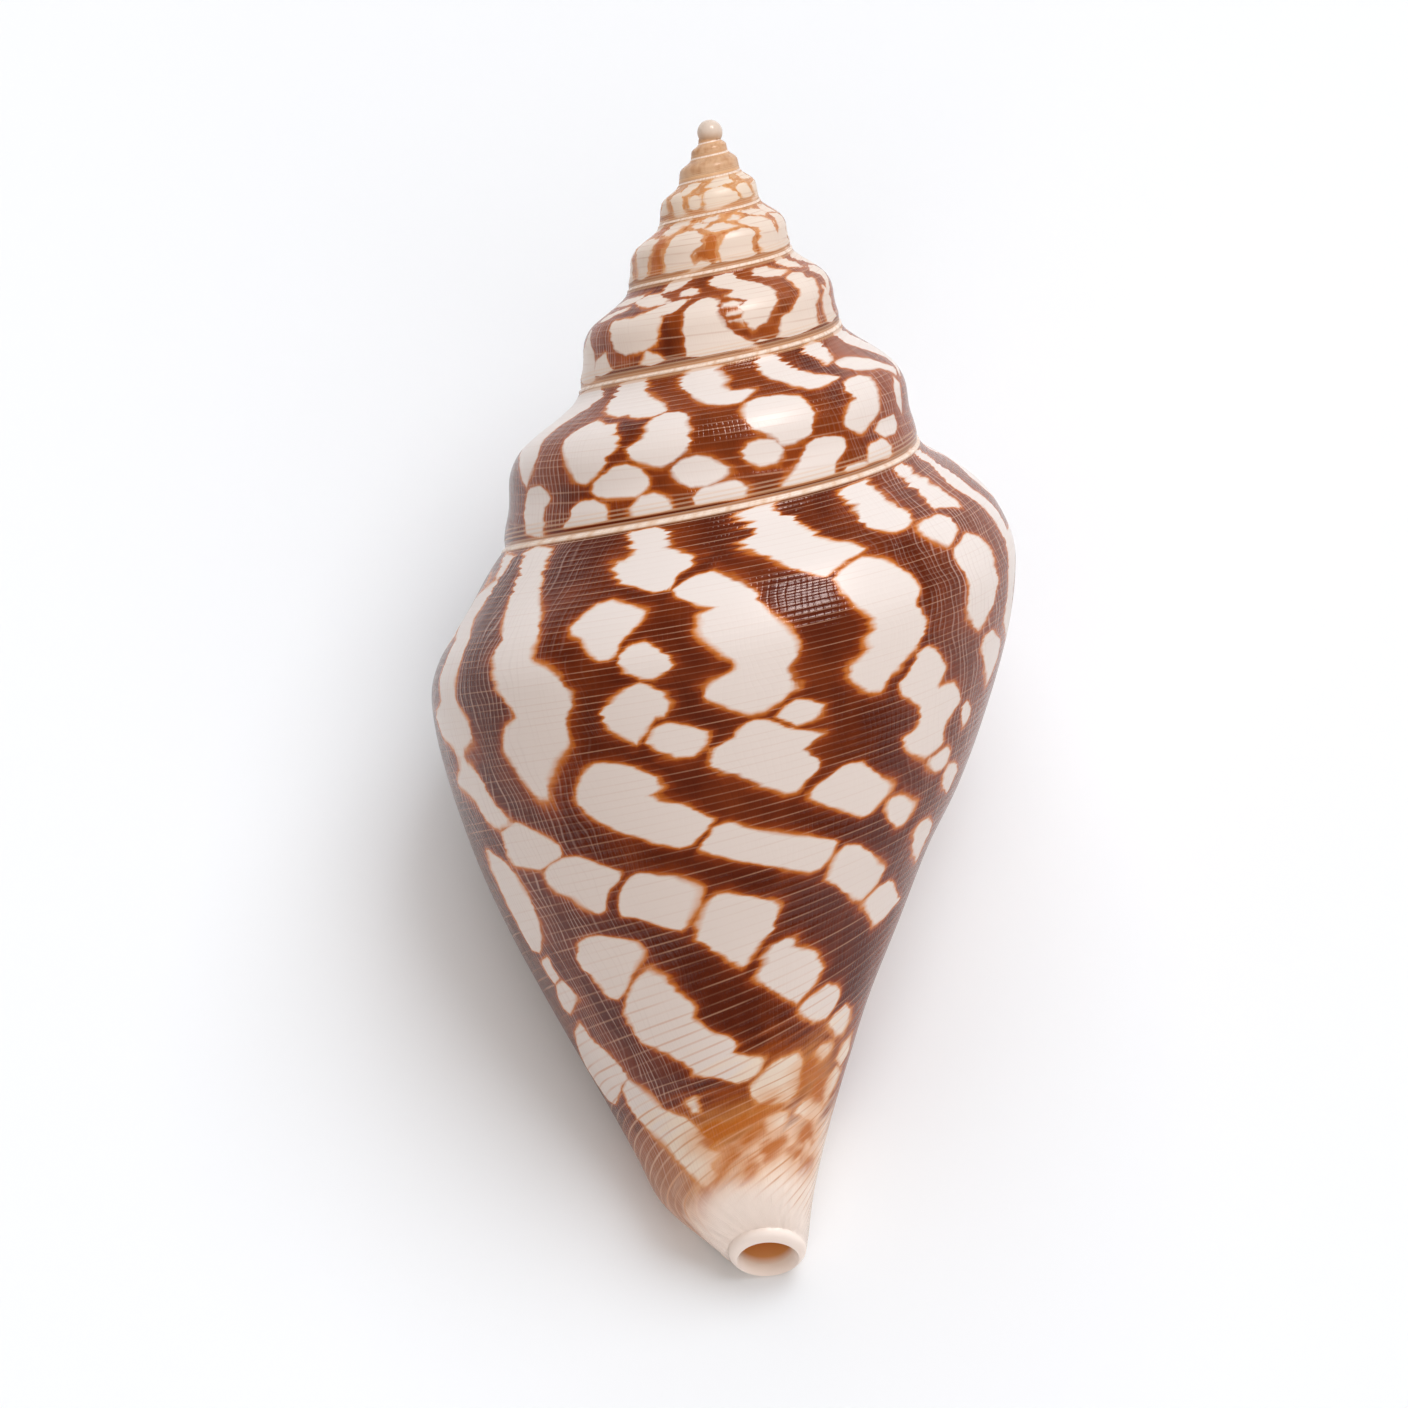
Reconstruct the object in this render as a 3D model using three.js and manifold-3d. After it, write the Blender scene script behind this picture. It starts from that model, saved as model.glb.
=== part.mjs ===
// A conch shell, as it lies on a table with its back up.
// Millimetres, +Z up; the spire points along +Y and the siphonal canal along -Y.
//
// The shell is one spiral surface. Turn 0 is the left side of the last whorl, with the spire up and
// the back towards the viewer, and turn -1 is the same side one whorl before. A point's place along
// the whorl's profile is u: 0 is the suture above the whorl, 7 is the line where the next whorl
// covers it, and 15 is the ring at the end of the canal.
import * as THREE from "three";
import { mergeVertices } from "three/addons/utils/BufferGeometryUtils.js";
import Module from "manifold-3d";

const wasm = await Module();
wasm.setup();

// Size and growth
const GROWTH = 1.592; // each whorl is this much larger than the one before
const SUTURE_DEPTH = 35.22; // from the growth centre to the suture at turn 0, along the axis
const SUTURE_RADIUS = 20.0; // from the axis to that suture
const TIP_LIFT = 0.15; // the growth centre stands this far above the tip of the spire
const NARROW_TURNS = 2.4; // whorls older than this are a little smaller than the spiral gives,
const NARROWING = 0.015; // as a share of their size for each turn
const SPIRE_TURNS = 6.5; // whorls from the bead at the tip to the aperture
const BEAD_RADIUS = 1.08;
const BEAD_DEPTH = 0.98; // centre of the bead below the tip of the spire
const BEAD_SEGMENTS = 16;
const PORCELAIN = 0xe6d3c3;
const GLOSS_ROUGHNESS = 0.28;

const LIP_TURN = 0.056; // the outer lip
const UPPER_LEAN = 4; // degrees by which its edge swings forward on the whorl's side
const LOWER_LEAN = -6; // and back on the base

// Profiles of the whorl: depth and radius, both as a multiple of the whorl's own suture.
// The spire whorls are stepped, with a sloping ramp and a nearly upright side.
const SPIRE_PROFILE = [
  [1.0, 1.0],
  [1.05, 1.05],
  [1.103, 1.155],
  [1.166, 1.315],
  [1.23, 1.45],
  [1.313, 1.528],
  [1.44, 1.55],
  [GROWTH, GROWTH],
];
// Under the aperture the same whorl runs on as the inner wall and the pillar.
const INNER_WALL = [
  [1.785, 1.38],
  [1.998, 1.18],
  [2.2, 0.99],
  [2.45, 0.79],
  [2.75, 0.57],
  [3.2, 0.36],
  [4.0, 0.235],
];
// The last whorl on its right side, where its shoulder is highest
const RIGHT_PROFILE = [
  [1.0, 1.0],
  [1.043, 1.06],
  [1.104, 1.22],
  [1.165, 1.345],
  [1.238, 1.43],
  [1.335, 1.49],
  [1.43, 1.485],
  [1.586, 1.43],
  [1.785, 1.302],
  [1.998, 1.13],
  [2.18, 0.94],
  [2.4, 0.757],
  [2.65, 0.55],
  [2.94, 0.368],
  [3.26, 0.208],
];
// The last whorl on its left side, with a longer ramp and a softer shoulder
const LEFT_PROFILE = [
  [1.0, 1.0],
  [1.058, 1.078],
  [1.15, 1.18],
  [1.218, 1.261],
  [1.27, 1.32],
  [1.338, 1.362],
  [1.431, 1.36],
  [1.57, 1.315],
  [1.77, 1.215],
  [1.94, 1.1],
  [2.11, 0.965],
  [2.28, 0.825],
  [2.42, 0.71],
  [2.53, 0.622],
  [2.65, 0.525],
];
// The last whorl at the outer lip
const LIP_PROFILE = [
  [1.0, 1.0],
  [1.058, 1.078],
  [1.15, 1.17],
  [1.218, 1.245],
  [1.27, 1.3],
  [1.338, 1.335],
  [1.431, 1.33],
  [1.56, 1.285],
  [1.75, 1.185],
  [1.91, 1.07],
  [2.06, 0.945],
  [2.21, 0.81],
  [2.33, 0.695],
  [2.43, 0.605],
  [2.53, 0.505],
];
// Profiles along the spiral; between them the shape changes smoothly
const PROFILES = [
  { turn: LIP_TURN - 1, points: [...SPIRE_PROFILE, ...INNER_WALL] },
  { turn: -0.5, points: RIGHT_PROFILE },
  { turn: 0, points: LEFT_PROFILE },
  { turn: LIP_TURN, points: LIP_PROFILE },
];
const COVER_LINE = 7; // the place u of the line where the next whorl begins
const RING_LINE = 15; // the place u of the ring at the end of the canal

// The end of the canal: a round ring, set off the axis and cut at a slant
const RING_RADIUS = 3.5;
const RING_LEFT = 1.65; // the ring's centre lies this far to the left of the axis
const RING_DEPTH = 98.2; // from the tip of the spire
const RING_SLANT = 18; // degrees
const RING_ROUNDING = 0.4;
const BORE_RADIUS = 2.3;
const BORE_DROP = 0.58; // at the ring, the bore's middle lies this far under the ring's
const BORE_BEYOND = 5; // how far the bore's path runs on past the ring
// Middle of the bore from inside the hollow to beyond the ring: sideways, depth and height
const BORE_PATH = [
  [-6.0, 82, 3.2],
  [-3.7, 89, 2.8],
  [-2.4, 94, 1.2],
  [-RING_LEFT, RING_DEPTH, -BORE_DROP],
  [-RING_LEFT, RING_DEPTH + BORE_BEYOND, -BORE_DROP],
];

// The canal bends towards the shell's back
const BEND_START = 80; // depth at which it begins
const BEND_LENGTH = 22;
const BEND_ANGLE = 34; // degrees, over that length

// The hollow inside the last whorl
const WALL = 1.3;
const LINING = 0.35; // thickness of the glaze over the inner wall
const HOLLOW_FIRST = -2.5; // turn at which the hollow ends, inside the spire
const HOLLOW_LAST = LIP_TURN + 0.03; // it is cut this far past the lip, so that the aperture is open
const HOLLOW_FOOT = 89.5; // depth of its lower end at turn 0
const FOOT_ROUNDING = 9; // length over which the lower end rounds off

// Fineness of the surface
const COLUMNS = 40; // to a turn
const SPIRE_ROWS = 9; // from the suture to the line where the next whorl begins
const BASE_ROWS = 12; // from there to the ring
const LAST_ROW = SPIRE_ROWS + BASE_ROWS;
const PILLAR_COLUMN = SPIRE_TURNS * COLUMNS; // under the lip, one whorl before it
const LIP_COLUMN = PILLAR_COLUMN + COLUMNS;
const HOLLOW_COLUMNS = 24; // to a turn
const HOLLOW_SAMPLES = 20; // round the hollow's outline
const HEAD_STEP = 0.05; // the hollow's upper end is found in steps of this depth
const PROFILE_SAMPLES = 90;
const BORE_STEPS = 12;
const BORE_SIDES = 20;

// How the shell lies: its axis is raised at the spire and turned a little about itself
const REST_PITCH = 21;
const REST_ROLL = 0.6;

const radians = THREE.MathUtils.degToRad;

// Angle round the axis at a turn: 0 is the shell's back and a quarter turn its left
function angleAt(turn) {
  return 2 * Math.PI * (turn + 0.25);
}

// Scale of the whorl at a turn, where turn 0 is 1
function scaleAt(turn) {
  const older = Math.max(0, -turn - NARROW_TURNS);
  return Math.pow(GROWTH, turn) * (1 - NARROWING * older);
}

// Slopes of a smooth curve through values that never overshoots them
function smoothSlopes(xs, ys) {
  const steps = xs.slice(1).map((x, i) => x - xs[i]);
  const rises = steps.map((step, i) => (ys[i + 1] - ys[i]) / step);
  return xs.map((_, i) => {
    if (i === 0) return rises[0];
    if (i === xs.length - 1) return rises[i - 1];
    const [before, after] = [rises[i - 1], rises[i]];
    if (before * after <= 0) return 0;
    const a = 2 * steps[i] + steps[i - 1];
    const b = steps[i] + 2 * steps[i - 1];
    return (a + b) / (a / before + b / after);
  });
}

// Value at x of the smooth curve through xs, ys; it stays level beyond its ends
function smoothValue(xs, ys, x) {
  const inside = Math.min(Math.max(x, xs[0]), xs[xs.length - 1]);
  let i = 0;
  while (i < xs.length - 2 && inside > xs[i + 1]) i += 1;
  const slopes = smoothSlopes(xs, ys);
  const step = xs[i + 1] - xs[i];
  const s = (inside - xs[i]) / step;
  const s2 = s * s;
  const s3 = s2 * s;
  return (
    ys[i] * (2 * s3 - 3 * s2 + 1) +
    step * slopes[i] * (s3 - 2 * s2 + s) +
    ys[i + 1] * (3 * s2 - 2 * s3) +
    step * slopes[i + 1] * (s3 - s2)
  );
}

// The ring's depth and radius in the direction of an angle round the axis
function ringPoint(angle) {
  const towards = RING_LEFT * Math.sin(angle);
  const aside = RING_LEFT * Math.cos(angle);
  const radius = towards + Math.sqrt(RING_RADIUS ** 2 - aside ** 2);
  const depth = RING_DEPTH - Math.tan(radians(RING_SLANT)) * radius * Math.cos(angle);
  return new THREE.Vector3(depth, radius, 0);
}

// Depth or radius of one profile point: it lies where the spiral is when grown by that multiple
function grown(size, turn, multiple) {
  return size * scaleAt(turn + Math.log(multiple) / Math.log(GROWTH));
}

// Profile of the whorl at a turn, as a curve of depth and radius
function profileCurve(turn) {
  const turns = PROFILES.map((profile) => profile.turn);
  const points = Array.from({ length: RING_LINE }, (_, i) => {
    const [depth, radius] = [0, 1].map((axis) => {
      const values = PROFILES.map((profile) => profile.points[i][axis]);
      return smoothValue(turns, values, turn);
    });
    return new THREE.Vector3(
      grown(SUTURE_DEPTH, turn, depth) - TIP_LIFT,
      grown(SUTURE_RADIUS, turn, radius),
      0,
    );
  });
  if (turn >= LIP_TURN - 1) points.push(ringPoint(angleAt(turn)));
  const curve = new THREE.CatmullRomCurve3(points, false, "centripetal");
  const last = points.length - 1;
  return (u) => curve.getPoint(u / last);
}

// How far the growth lines swing round the axis at a place u, in degrees
function lean(u) {
  if (u < COVER_LINE) return UPPER_LEAN * Math.sin((Math.PI * u) / COVER_LINE);
  const along = (u - COVER_LINE) / (RING_LINE - COVER_LINE);
  return LOWER_LEAN * Math.sin(Math.PI * along);
}

// Bends the canal towards the back: sideways x, depth and height above the axis
function placed(sideways, depth, height) {
  const past = depth - BEND_START;
  if (past <= 0) return new THREE.Vector3(sideways, -depth, height);
  const bendRadius = BEND_LENGTH / radians(BEND_ANGLE);
  const angle = past / bendRadius;
  const arm = bendRadius - height;
  return new THREE.Vector3(
    sideways,
    -BEND_START - arm * Math.sin(angle),
    bendRadius - arm * Math.cos(angle),
  );
}

// A point given by its depth, radius and angle round the axis, in radians
function aroundAxis(depth, radius, angle) {
  return placed(-radius * Math.sin(angle), depth, radius * Math.cos(angle));
}

// A point of the whorl's surface
function surfacePoint(curve, turn, u) {
  const { x: depth, y: radius } = curve(u);
  return aroundAxis(depth, radius, angleAt(turn) + radians(lean(u)));
}

// A solid from points and triangles
function solidFrom(points, triangles) {
  const vertProperties = new Float32Array(points.flatMap((p) => [p.x, p.y, p.z]));
  const triVerts = new Uint32Array(triangles.flat());
  return new wasm.Manifold(new wasm.Mesh({ numProp: 3, vertProperties, triVerts }));
}

// Triangles between two rows of corner numbers that may differ in length
function stitched(left, right) {
  const triangles = [];
  let i = 0;
  let j = 0;
  while (i < left.length - 1 || j < right.length - 1) {
    const leftNext = (i + 1) / (left.length - 1);
    const rightNext = (j + 1) / (right.length - 1);
    if (j === right.length - 1 || (i < left.length - 1 && leftNext <= rightNext)) {
      triangles.push([left[i], left[i + 1], right[j]]);
      i += 1;
    } else {
      triangles.push([left[i], right[j + 1], right[j]]);
      j += 1;
    }
  }
  return triangles.filter(([a, b, c]) => a !== b && b !== c && c !== a);
}

// The place u of a row of the surface
function rowPlace(row) {
  if (row <= SPIRE_ROWS) return (COVER_LINE * row) / SPIRE_ROWS;
  return COVER_LINE + ((RING_LINE - COVER_LINE) * (row - SPIRE_ROWS)) / BASE_ROWS;
}

// Columns of corner numbers from the suture down, from the bead to the lip; adds the corners to points.
// A whorl of the spire shares its lowest corners with the suture of the next whorl.
function surfaceColumns(points) {
  const columns = Array.from({ length: LIP_COLUMN + 1 }, (_, j) => {
    const turn = LIP_TURN - 1 - SPIRE_TURNS + j / COLUMNS;
    const curve = profileCurve(turn);
    const count = j < PILLAR_COLUMN ? SPIRE_ROWS : LAST_ROW + 1;
    return Array.from({ length: count }, (_, i) => {
      return points.push(surfacePoint(curve, turn, rowPlace(i))) - 1;
    });
  });
  for (let j = 0; j < PILLAR_COLUMN; j += 1) columns[j].push(columns[j + COLUMNS][0]);
  const [pillar, lip] = [columns[PILLAR_COLUMN], columns[LIP_COLUMN]];
  pillar[SPIRE_ROWS] = lip[0];
  lip[LAST_ROW] = pillar[LAST_ROW];
  return columns;
}

// Triangles between neighbouring columns
function surfaceTriangles(columns) {
  const triangles = [];
  for (let j = 0; j < columns.length - 1; j += 1) {
    const count = Math.min(columns[j].length, columns[j + 1].length);
    for (let i = 0; i < count - 1; i += 1) {
      const [a, b] = [columns[j][i], columns[j][i + 1]];
      const [c, d] = [columns[j + 1][i], columns[j + 1][i + 1]];
      triangles.push([a, c, b], [b, c, d]);
    }
  }
  return triangles;
}

// Closes the start of the spiral, inside the bead
function startTriangles(points, columns) {
  const start = points.push(placed(0, BEAD_DEPTH, 0)) - 1;
  const rim = columns.slice(0, COLUMNS + 1).map((column) => column[0]);
  const loop = [...rim, ...columns[0].slice(1, -1).reverse()];
  return loop.map((corner, i) => [start, loop[(i + 1) % loop.length], corner]);
}

// The whole outside of the shell, with the aperture closed by a flat face from the lip to the pillar
function outsideSolid() {
  const points = [];
  const columns = surfaceColumns(points);
  const [pillar, lip] = [columns[PILLAR_COLUMN], columns[LIP_COLUMN]];
  const ring = columns.slice(PILLAR_COLUMN, LIP_COLUMN).map((column) => column[LAST_ROW]);
  return solidFrom(points, [
    ...surfaceTriangles(columns),
    ...stitched(pillar.slice(SPIRE_ROWS), lip),
    ...startTriangles(points, columns),
    ...ringTriangles(points, ring),
  ]);
}

// Rounds the edge of the ring and closes it
function ringTriangles(points, ring) {
  const centre = new THREE.Vector3();
  ring.forEach((corner) => centre.addScaledVector(points[corner], 1 / ring.length));
  const spoke = points[ring[0]].clone().sub(centre);
  const crossSpoke = points[ring[COLUMNS / 4]].clone().sub(centre);
  const outward = crossSpoke.cross(spoke).normalize();
  const inner = ring.map((corner) => {
    const inset = 1 - RING_ROUNDING / points[corner].distanceTo(centre);
    const point = points[corner].clone().sub(centre).multiplyScalar(inset).add(centre);
    return points.push(point.addScaledVector(outward, RING_ROUNDING)) - 1;
  });
  const middle = centre.clone().addScaledVector(outward, RING_ROUNDING);
  const hub = points.push(middle) - 1;
  const triangles = [];
  ring.forEach((corner, i) => {
    const next = (i + 1) % ring.length;
    triangles.push([corner, ring[next], inner[i]], [inner[i], ring[next], inner[next]]);
    triangles.push([inner[i], inner[next], hub]);
  });
  return triangles;
}

// Depths and radii along a profile, for reading the radius at a depth
function sampledProfile(turn) {
  const curve = profileCurve(turn);
  const end = turn < LIP_TURN - 1 ? RING_LINE - 1 : RING_LINE;
  return Array.from({ length: PROFILE_SAMPLES + 1 }, (_, i) => curve((end * i) / PROFILE_SAMPLES));
}

function radiusAt(samples, depth) {
  let i = 0;
  while (i < samples.length - 2 && samples[i + 1].x < depth) i += 1;
  const [a, b] = [samples[i], samples[i + 1]];
  const part = (depth - a.x) / (b.x - a.x);
  const slope = (b.y - a.y) / (b.x - a.x);
  return { radius: a.y + part * (b.y - a.y), slope };
}

// Outer limit of the hollow at a depth: the shell's outside less the wall
function hollowOuter(samples, depth, wall) {
  const { radius, slope } = radiusAt(samples, depth);
  return radius - wall * Math.sqrt(1 + slope * slope);
}

// Radius of the inner wall and the pillar under the whorl at a turn
function pillarRadius(turn, depth) {
  const scale = scaleAt(turn - 1);
  const points = [...SPIRE_PROFILE.slice(COVER_LINE - 1), ...INNER_WALL];
  const depths = points.map(([multiple]) => SUTURE_DEPTH * scale * multiple - TIP_LIFT);
  const radii = points.map(([, multiple]) => SUTURE_RADIUS * scale * multiple);
  return smoothValue(depths, radii, depth) + LINING;
}

// Outline of the hollow in the half plane at a turn: down its outer side and back up its inner one
function hollowOutline(turn) {
  const samples = sampledProfile(turn);
  const foot = HOLLOW_FOOT * scaleAt(turn);
  let head = samples[0].x;
  const wall = WALL * scaleAt(turn);
  while (hollowOuter(samples, head, wall) < pillarRadius(turn, head)) head += HEAD_STEP;
  return Array.from({ length: HOLLOW_SAMPLES }, (_, i) => {
    const angle = (2 * Math.PI * i) / HOLLOW_SAMPLES;
    const depth = head + ((foot - head) * (1 - Math.cos(angle))) / 2;
    const outer = hollowOuter(samples, depth, wall);
    const inner = pillarRadius(turn, depth);
    const toFoot = Math.max(0, 1 - (foot - depth) / (FOOT_ROUNDING * scaleAt(turn)));
    const half = ((outer - inner) / 2) * Math.sqrt(Math.max(0, 1 - toFoot ** 2));
    return [depth, (outer + inner) / 2 + Math.sign(Math.sin(angle)) * half];
  });
}

// A closed tube through rings of points, with a flat end at each ring's middle
function tubeSolid(rings) {
  const points = rings.flat();
  const size = rings[0].length;
  const triangles = [];
  for (let j = 0; j < rings.length - 1; j += 1) {
    for (let i = 0; i < size; i += 1) {
      const next = (i + 1) % size;
      const [a, b] = [j * size + i, j * size + next];
      const [c, d] = [a + size, b + size];
      triangles.push([a, c, b], [b, c, d]);
    }
  }
  [0, rings.length - 1].forEach((j) => {
    const middle = new THREE.Vector3();
    rings[j].forEach((point) => middle.addScaledVector(point, 1 / size));
    const hub = points.push(middle) - 1;
    for (let i = 0; i < size; i += 1) {
      const [a, b] = [j * size + i, j * size + ((i + 1) % size)];
      triangles.push(j === 0 ? [hub, a, b] : [hub, b, a]);
    }
  });
  const solid = solidFrom(points, triangles);
  if (solid.volume() > 0) return solid;
  return solidFrom(points, triangles.map(([a, b, c]) => [a, c, b]));
}

// The hollow of the last whorl, open at the aperture
function hollowSolid() {
  const steps = Math.round((HOLLOW_LAST - HOLLOW_FIRST) * HOLLOW_COLUMNS);
  const rings = Array.from({ length: steps + 1 }, (_, j) => {
    const turn = HOLLOW_FIRST + ((HOLLOW_LAST - HOLLOW_FIRST) * j) / steps;
    const angle = angleAt(turn);
    return hollowOutline(turn).map(([depth, radius]) => aroundAxis(depth, radius, angle));
  });
  return tubeSolid(rings);
}

// The round bore from the end of the canal up into the hollow
function boreSolid() {
  const path = new THREE.CatmullRomCurve3(BORE_PATH.map((point) => new THREE.Vector3(...point)));
  const rings = path.getPoints(BORE_STEPS).map((middle) =>
    Array.from({ length: BORE_SIDES }, (_, i) => {
      const angle = (2 * Math.PI * i) / BORE_SIDES;
      const sideways = middle.x + BORE_RADIUS * Math.cos(angle);
      const height = middle.z + BORE_RADIUS * Math.sin(angle);
      return placed(sideways, middle.y, height);
    }),
  );
  return tubeSolid(rings);
}

// The bead at the tip of the spire
function beadSolid() {
  const ball = new THREE.SphereGeometry(BEAD_RADIUS, BEAD_SEGMENTS, BEAD_SEGMENTS / 2);
  ball.translate(0, -BEAD_DEPTH, 0);
  ball.deleteAttribute("normal");
  ball.deleteAttribute("uv");
  const merged = mergeVertices(ball);
  const vertProperties = merged.attributes.position.array;
  const triVerts = new Uint32Array(merged.index.array);
  return new wasm.Manifold(new wasm.Mesh({ numProp: 3, vertProperties, triVerts }));
}

// A solid as a geometry for display
function geometryFrom(solid) {
  const { vertProperties, triVerts } = solid.getMesh();
  const geometry = new THREE.BufferGeometry();
  geometry.setAttribute("position", new THREE.BufferAttribute(vertProperties, 3));
  geometry.setIndex(new THREE.BufferAttribute(triVerts, 1));
  return geometry;
}

// Lays the shell on its aperture, with its lowest point on the table and its middle at the origin
function layDown(geometry) {
  geometry.rotateY(radians(REST_ROLL));
  geometry.rotateX(radians(REST_PITCH));
  geometry.computeBoundingBox();
  const { min, max } = geometry.boundingBox;
  geometry.translate(-(min.x + max.x) / 2, -(min.y + max.y) / 2, -min.z);
  geometry.computeVertexNormals();
}

// Glossy cream shell
function porcelain() {
  const material = new THREE.MeshStandardMaterial({
    color: PORCELAIN,
    roughness: GLOSS_ROUGHNESS,
    metalness: 0,
  });
  material.name = "porcelain";
  return material;
}

// The shell as one piece: the outside and the bead, less the hollow and the bore
function shellMesh() {
  const solid = outsideSolid().add(beadSolid()).subtract(hollowSolid()).subtract(boreSolid());
  const geometry = geometryFrom(solid);
  layDown(geometry);
  const mesh = new THREE.Mesh(geometry, porcelain());
  mesh.name = "shell";
  return mesh;
}

const conch = new THREE.Group();
conch.name = "conch_shell";
conch.add(shellMesh());

export default conch;
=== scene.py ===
import math

import bmesh
import bpy
import numpy as np
from mathutils import Matrix, Vector
from mathutils.kdtree import KDTree


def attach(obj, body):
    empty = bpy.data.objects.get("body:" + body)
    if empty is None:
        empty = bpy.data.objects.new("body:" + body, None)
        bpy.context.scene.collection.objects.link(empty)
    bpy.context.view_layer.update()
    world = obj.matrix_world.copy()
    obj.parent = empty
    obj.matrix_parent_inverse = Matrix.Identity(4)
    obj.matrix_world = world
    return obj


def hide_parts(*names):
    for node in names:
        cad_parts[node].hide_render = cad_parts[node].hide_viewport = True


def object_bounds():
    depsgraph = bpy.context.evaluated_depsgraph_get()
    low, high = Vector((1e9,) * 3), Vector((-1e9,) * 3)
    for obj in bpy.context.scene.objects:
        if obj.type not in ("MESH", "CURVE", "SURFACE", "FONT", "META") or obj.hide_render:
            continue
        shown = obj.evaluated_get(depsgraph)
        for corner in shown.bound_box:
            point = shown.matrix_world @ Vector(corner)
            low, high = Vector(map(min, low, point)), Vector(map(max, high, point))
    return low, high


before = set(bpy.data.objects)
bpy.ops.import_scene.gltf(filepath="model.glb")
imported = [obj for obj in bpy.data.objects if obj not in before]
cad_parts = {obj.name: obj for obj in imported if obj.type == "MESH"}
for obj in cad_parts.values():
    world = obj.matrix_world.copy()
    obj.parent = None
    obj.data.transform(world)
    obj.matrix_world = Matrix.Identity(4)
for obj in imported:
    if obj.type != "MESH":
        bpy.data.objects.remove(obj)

cad_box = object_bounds()

# The shell's surface is a spiral strip. Turn 0 is the left side of the last whorl, with the spire up and
# the back towards the viewer, and turn -1 is the same side one whorl before. A point's place along the
# whorl's profile is u: 0 is the suture above the whorl, 7 is the line where the next whorl covers it, and
# 15 is the ring at the end of the canal. Lengths are in millimetres until the mesh is made.

# Size and growth
GROWTH = 1.592  # each whorl is this much larger than the one before
SUTURE_DEPTH = 35.22  # from the growth centre to the suture at turn 0, along the axis
SUTURE_RADIUS = 20.0  # from the axis to that suture
SUTURE_STEP = 2.57  # length along the profile from u = 0 to 1, at turn 0
TIP_LIFT = 0.15  # the growth centre stands this far above the tip of the spire
NARROW_TURNS = 2.4  # whorls older than this are a little smaller than the spiral gives,
NARROWING = 0.015  # as a share of their size for each turn
SPIRE_TURNS = 6.5
BEAD_RADIUS = 1.08
BEAD_DEPTH = 0.98

LIP_TURN = 0.056
UPPER_LEAN = 4
LOWER_LEAN = -6

# Profiles of the whorl: depth and radius, both as a multiple of the whorl's own suture
SPIRE_PROFILE = [
    (1.0, 1.0), (1.05, 1.05), (1.103, 1.155), (1.166, 1.315),
    (1.23, 1.45), (1.313, 1.528), (1.44, 1.55), (GROWTH, GROWTH),
]
INNER_WALL = [
    (1.785, 1.38), (1.998, 1.18), (2.2, 0.99), (2.45, 0.79),
    (2.75, 0.57), (3.2, 0.36), (4.0, 0.235),
]
RIGHT_PROFILE = [
    (1.0, 1.0), (1.043, 1.06), (1.104, 1.22), (1.165, 1.345), (1.238, 1.43),
    (1.335, 1.49), (1.43, 1.485), (1.586, 1.43), (1.785, 1.302), (1.998, 1.13),
    (2.18, 0.94), (2.4, 0.757), (2.65, 0.55), (2.94, 0.368), (3.26, 0.208),
]
LEFT_PROFILE = [
    (1.0, 1.0), (1.058, 1.078), (1.15, 1.18), (1.218, 1.261), (1.27, 1.32),
    (1.338, 1.362), (1.431, 1.36), (1.57, 1.315), (1.77, 1.215), (1.94, 1.1),
    (2.11, 0.965), (2.28, 0.825), (2.42, 0.71), (2.53, 0.622), (2.65, 0.525),
]
LIP_PROFILE = [
    (1.0, 1.0), (1.058, 1.078), (1.15, 1.17), (1.218, 1.245), (1.27, 1.3),
    (1.338, 1.335), (1.431, 1.33), (1.56, 1.285), (1.75, 1.185), (1.91, 1.07),
    (2.06, 0.945), (2.21, 0.81), (2.33, 0.695), (2.43, 0.605), (2.53, 0.505),
]
KEY_TURNS = np.array([LIP_TURN - 1, -0.5, 0, LIP_TURN])
KEY_PROFILES = np.array([SPIRE_PROFILE + INNER_WALL, RIGHT_PROFILE, LEFT_PROFILE, LIP_PROFILE])
COVER_LINE = 7
RING_LINE = 15

# The end of the canal
RING_RADIUS = 3.5
RING_LEFT = 1.65
RING_DEPTH = 98.2
RING_SLANT = 18
RING_ROUNDING = 0.7  # of the ring's edge along the canal,
RING_INSET = 0.95  # and across it
RING_BACK = 0.5  # the wall is drawn back this much from the ring's plane, for the rounding,
BACK_LENGTH = 2  # over this length
BACK_ROWS = 2  # of the profile
BORE_RADIUS = 2.3
BORE_BEYOND = 5
BORE_DROP = 0.58  # from the middle of the ring
BORE_FLARE = 0.32  # the mouth of the bore is this much wider
BORE_PATH = np.array([
    (-6.0, 82, 3.2), (-3.7, 89, 2.8), (-2.4, 94, 1.2),
    (-RING_LEFT, RING_DEPTH, -BORE_DROP), (-RING_LEFT, RING_DEPTH + BORE_BEYOND, -BORE_DROP),
])
BEND_START = 80
BEND_LENGTH = 22
BEND_ANGLE = 34

# The hollow inside the last whorl
WALL = 1.3
LINING = 0.35
HOLLOW_FIRST = -2.5
HOLLOW_LAST = LIP_TURN + 0.03
HOLLOW_FOOT = 89.5
FOOT_ROUNDING = 9

# How the shell lies
REST_PITCH = 21
REST_ROLL = 0.6
TIP_PLACE = np.array([1.8086, 47.0401, 34.1489])  # the tip of the spire in the frame of the part

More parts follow.
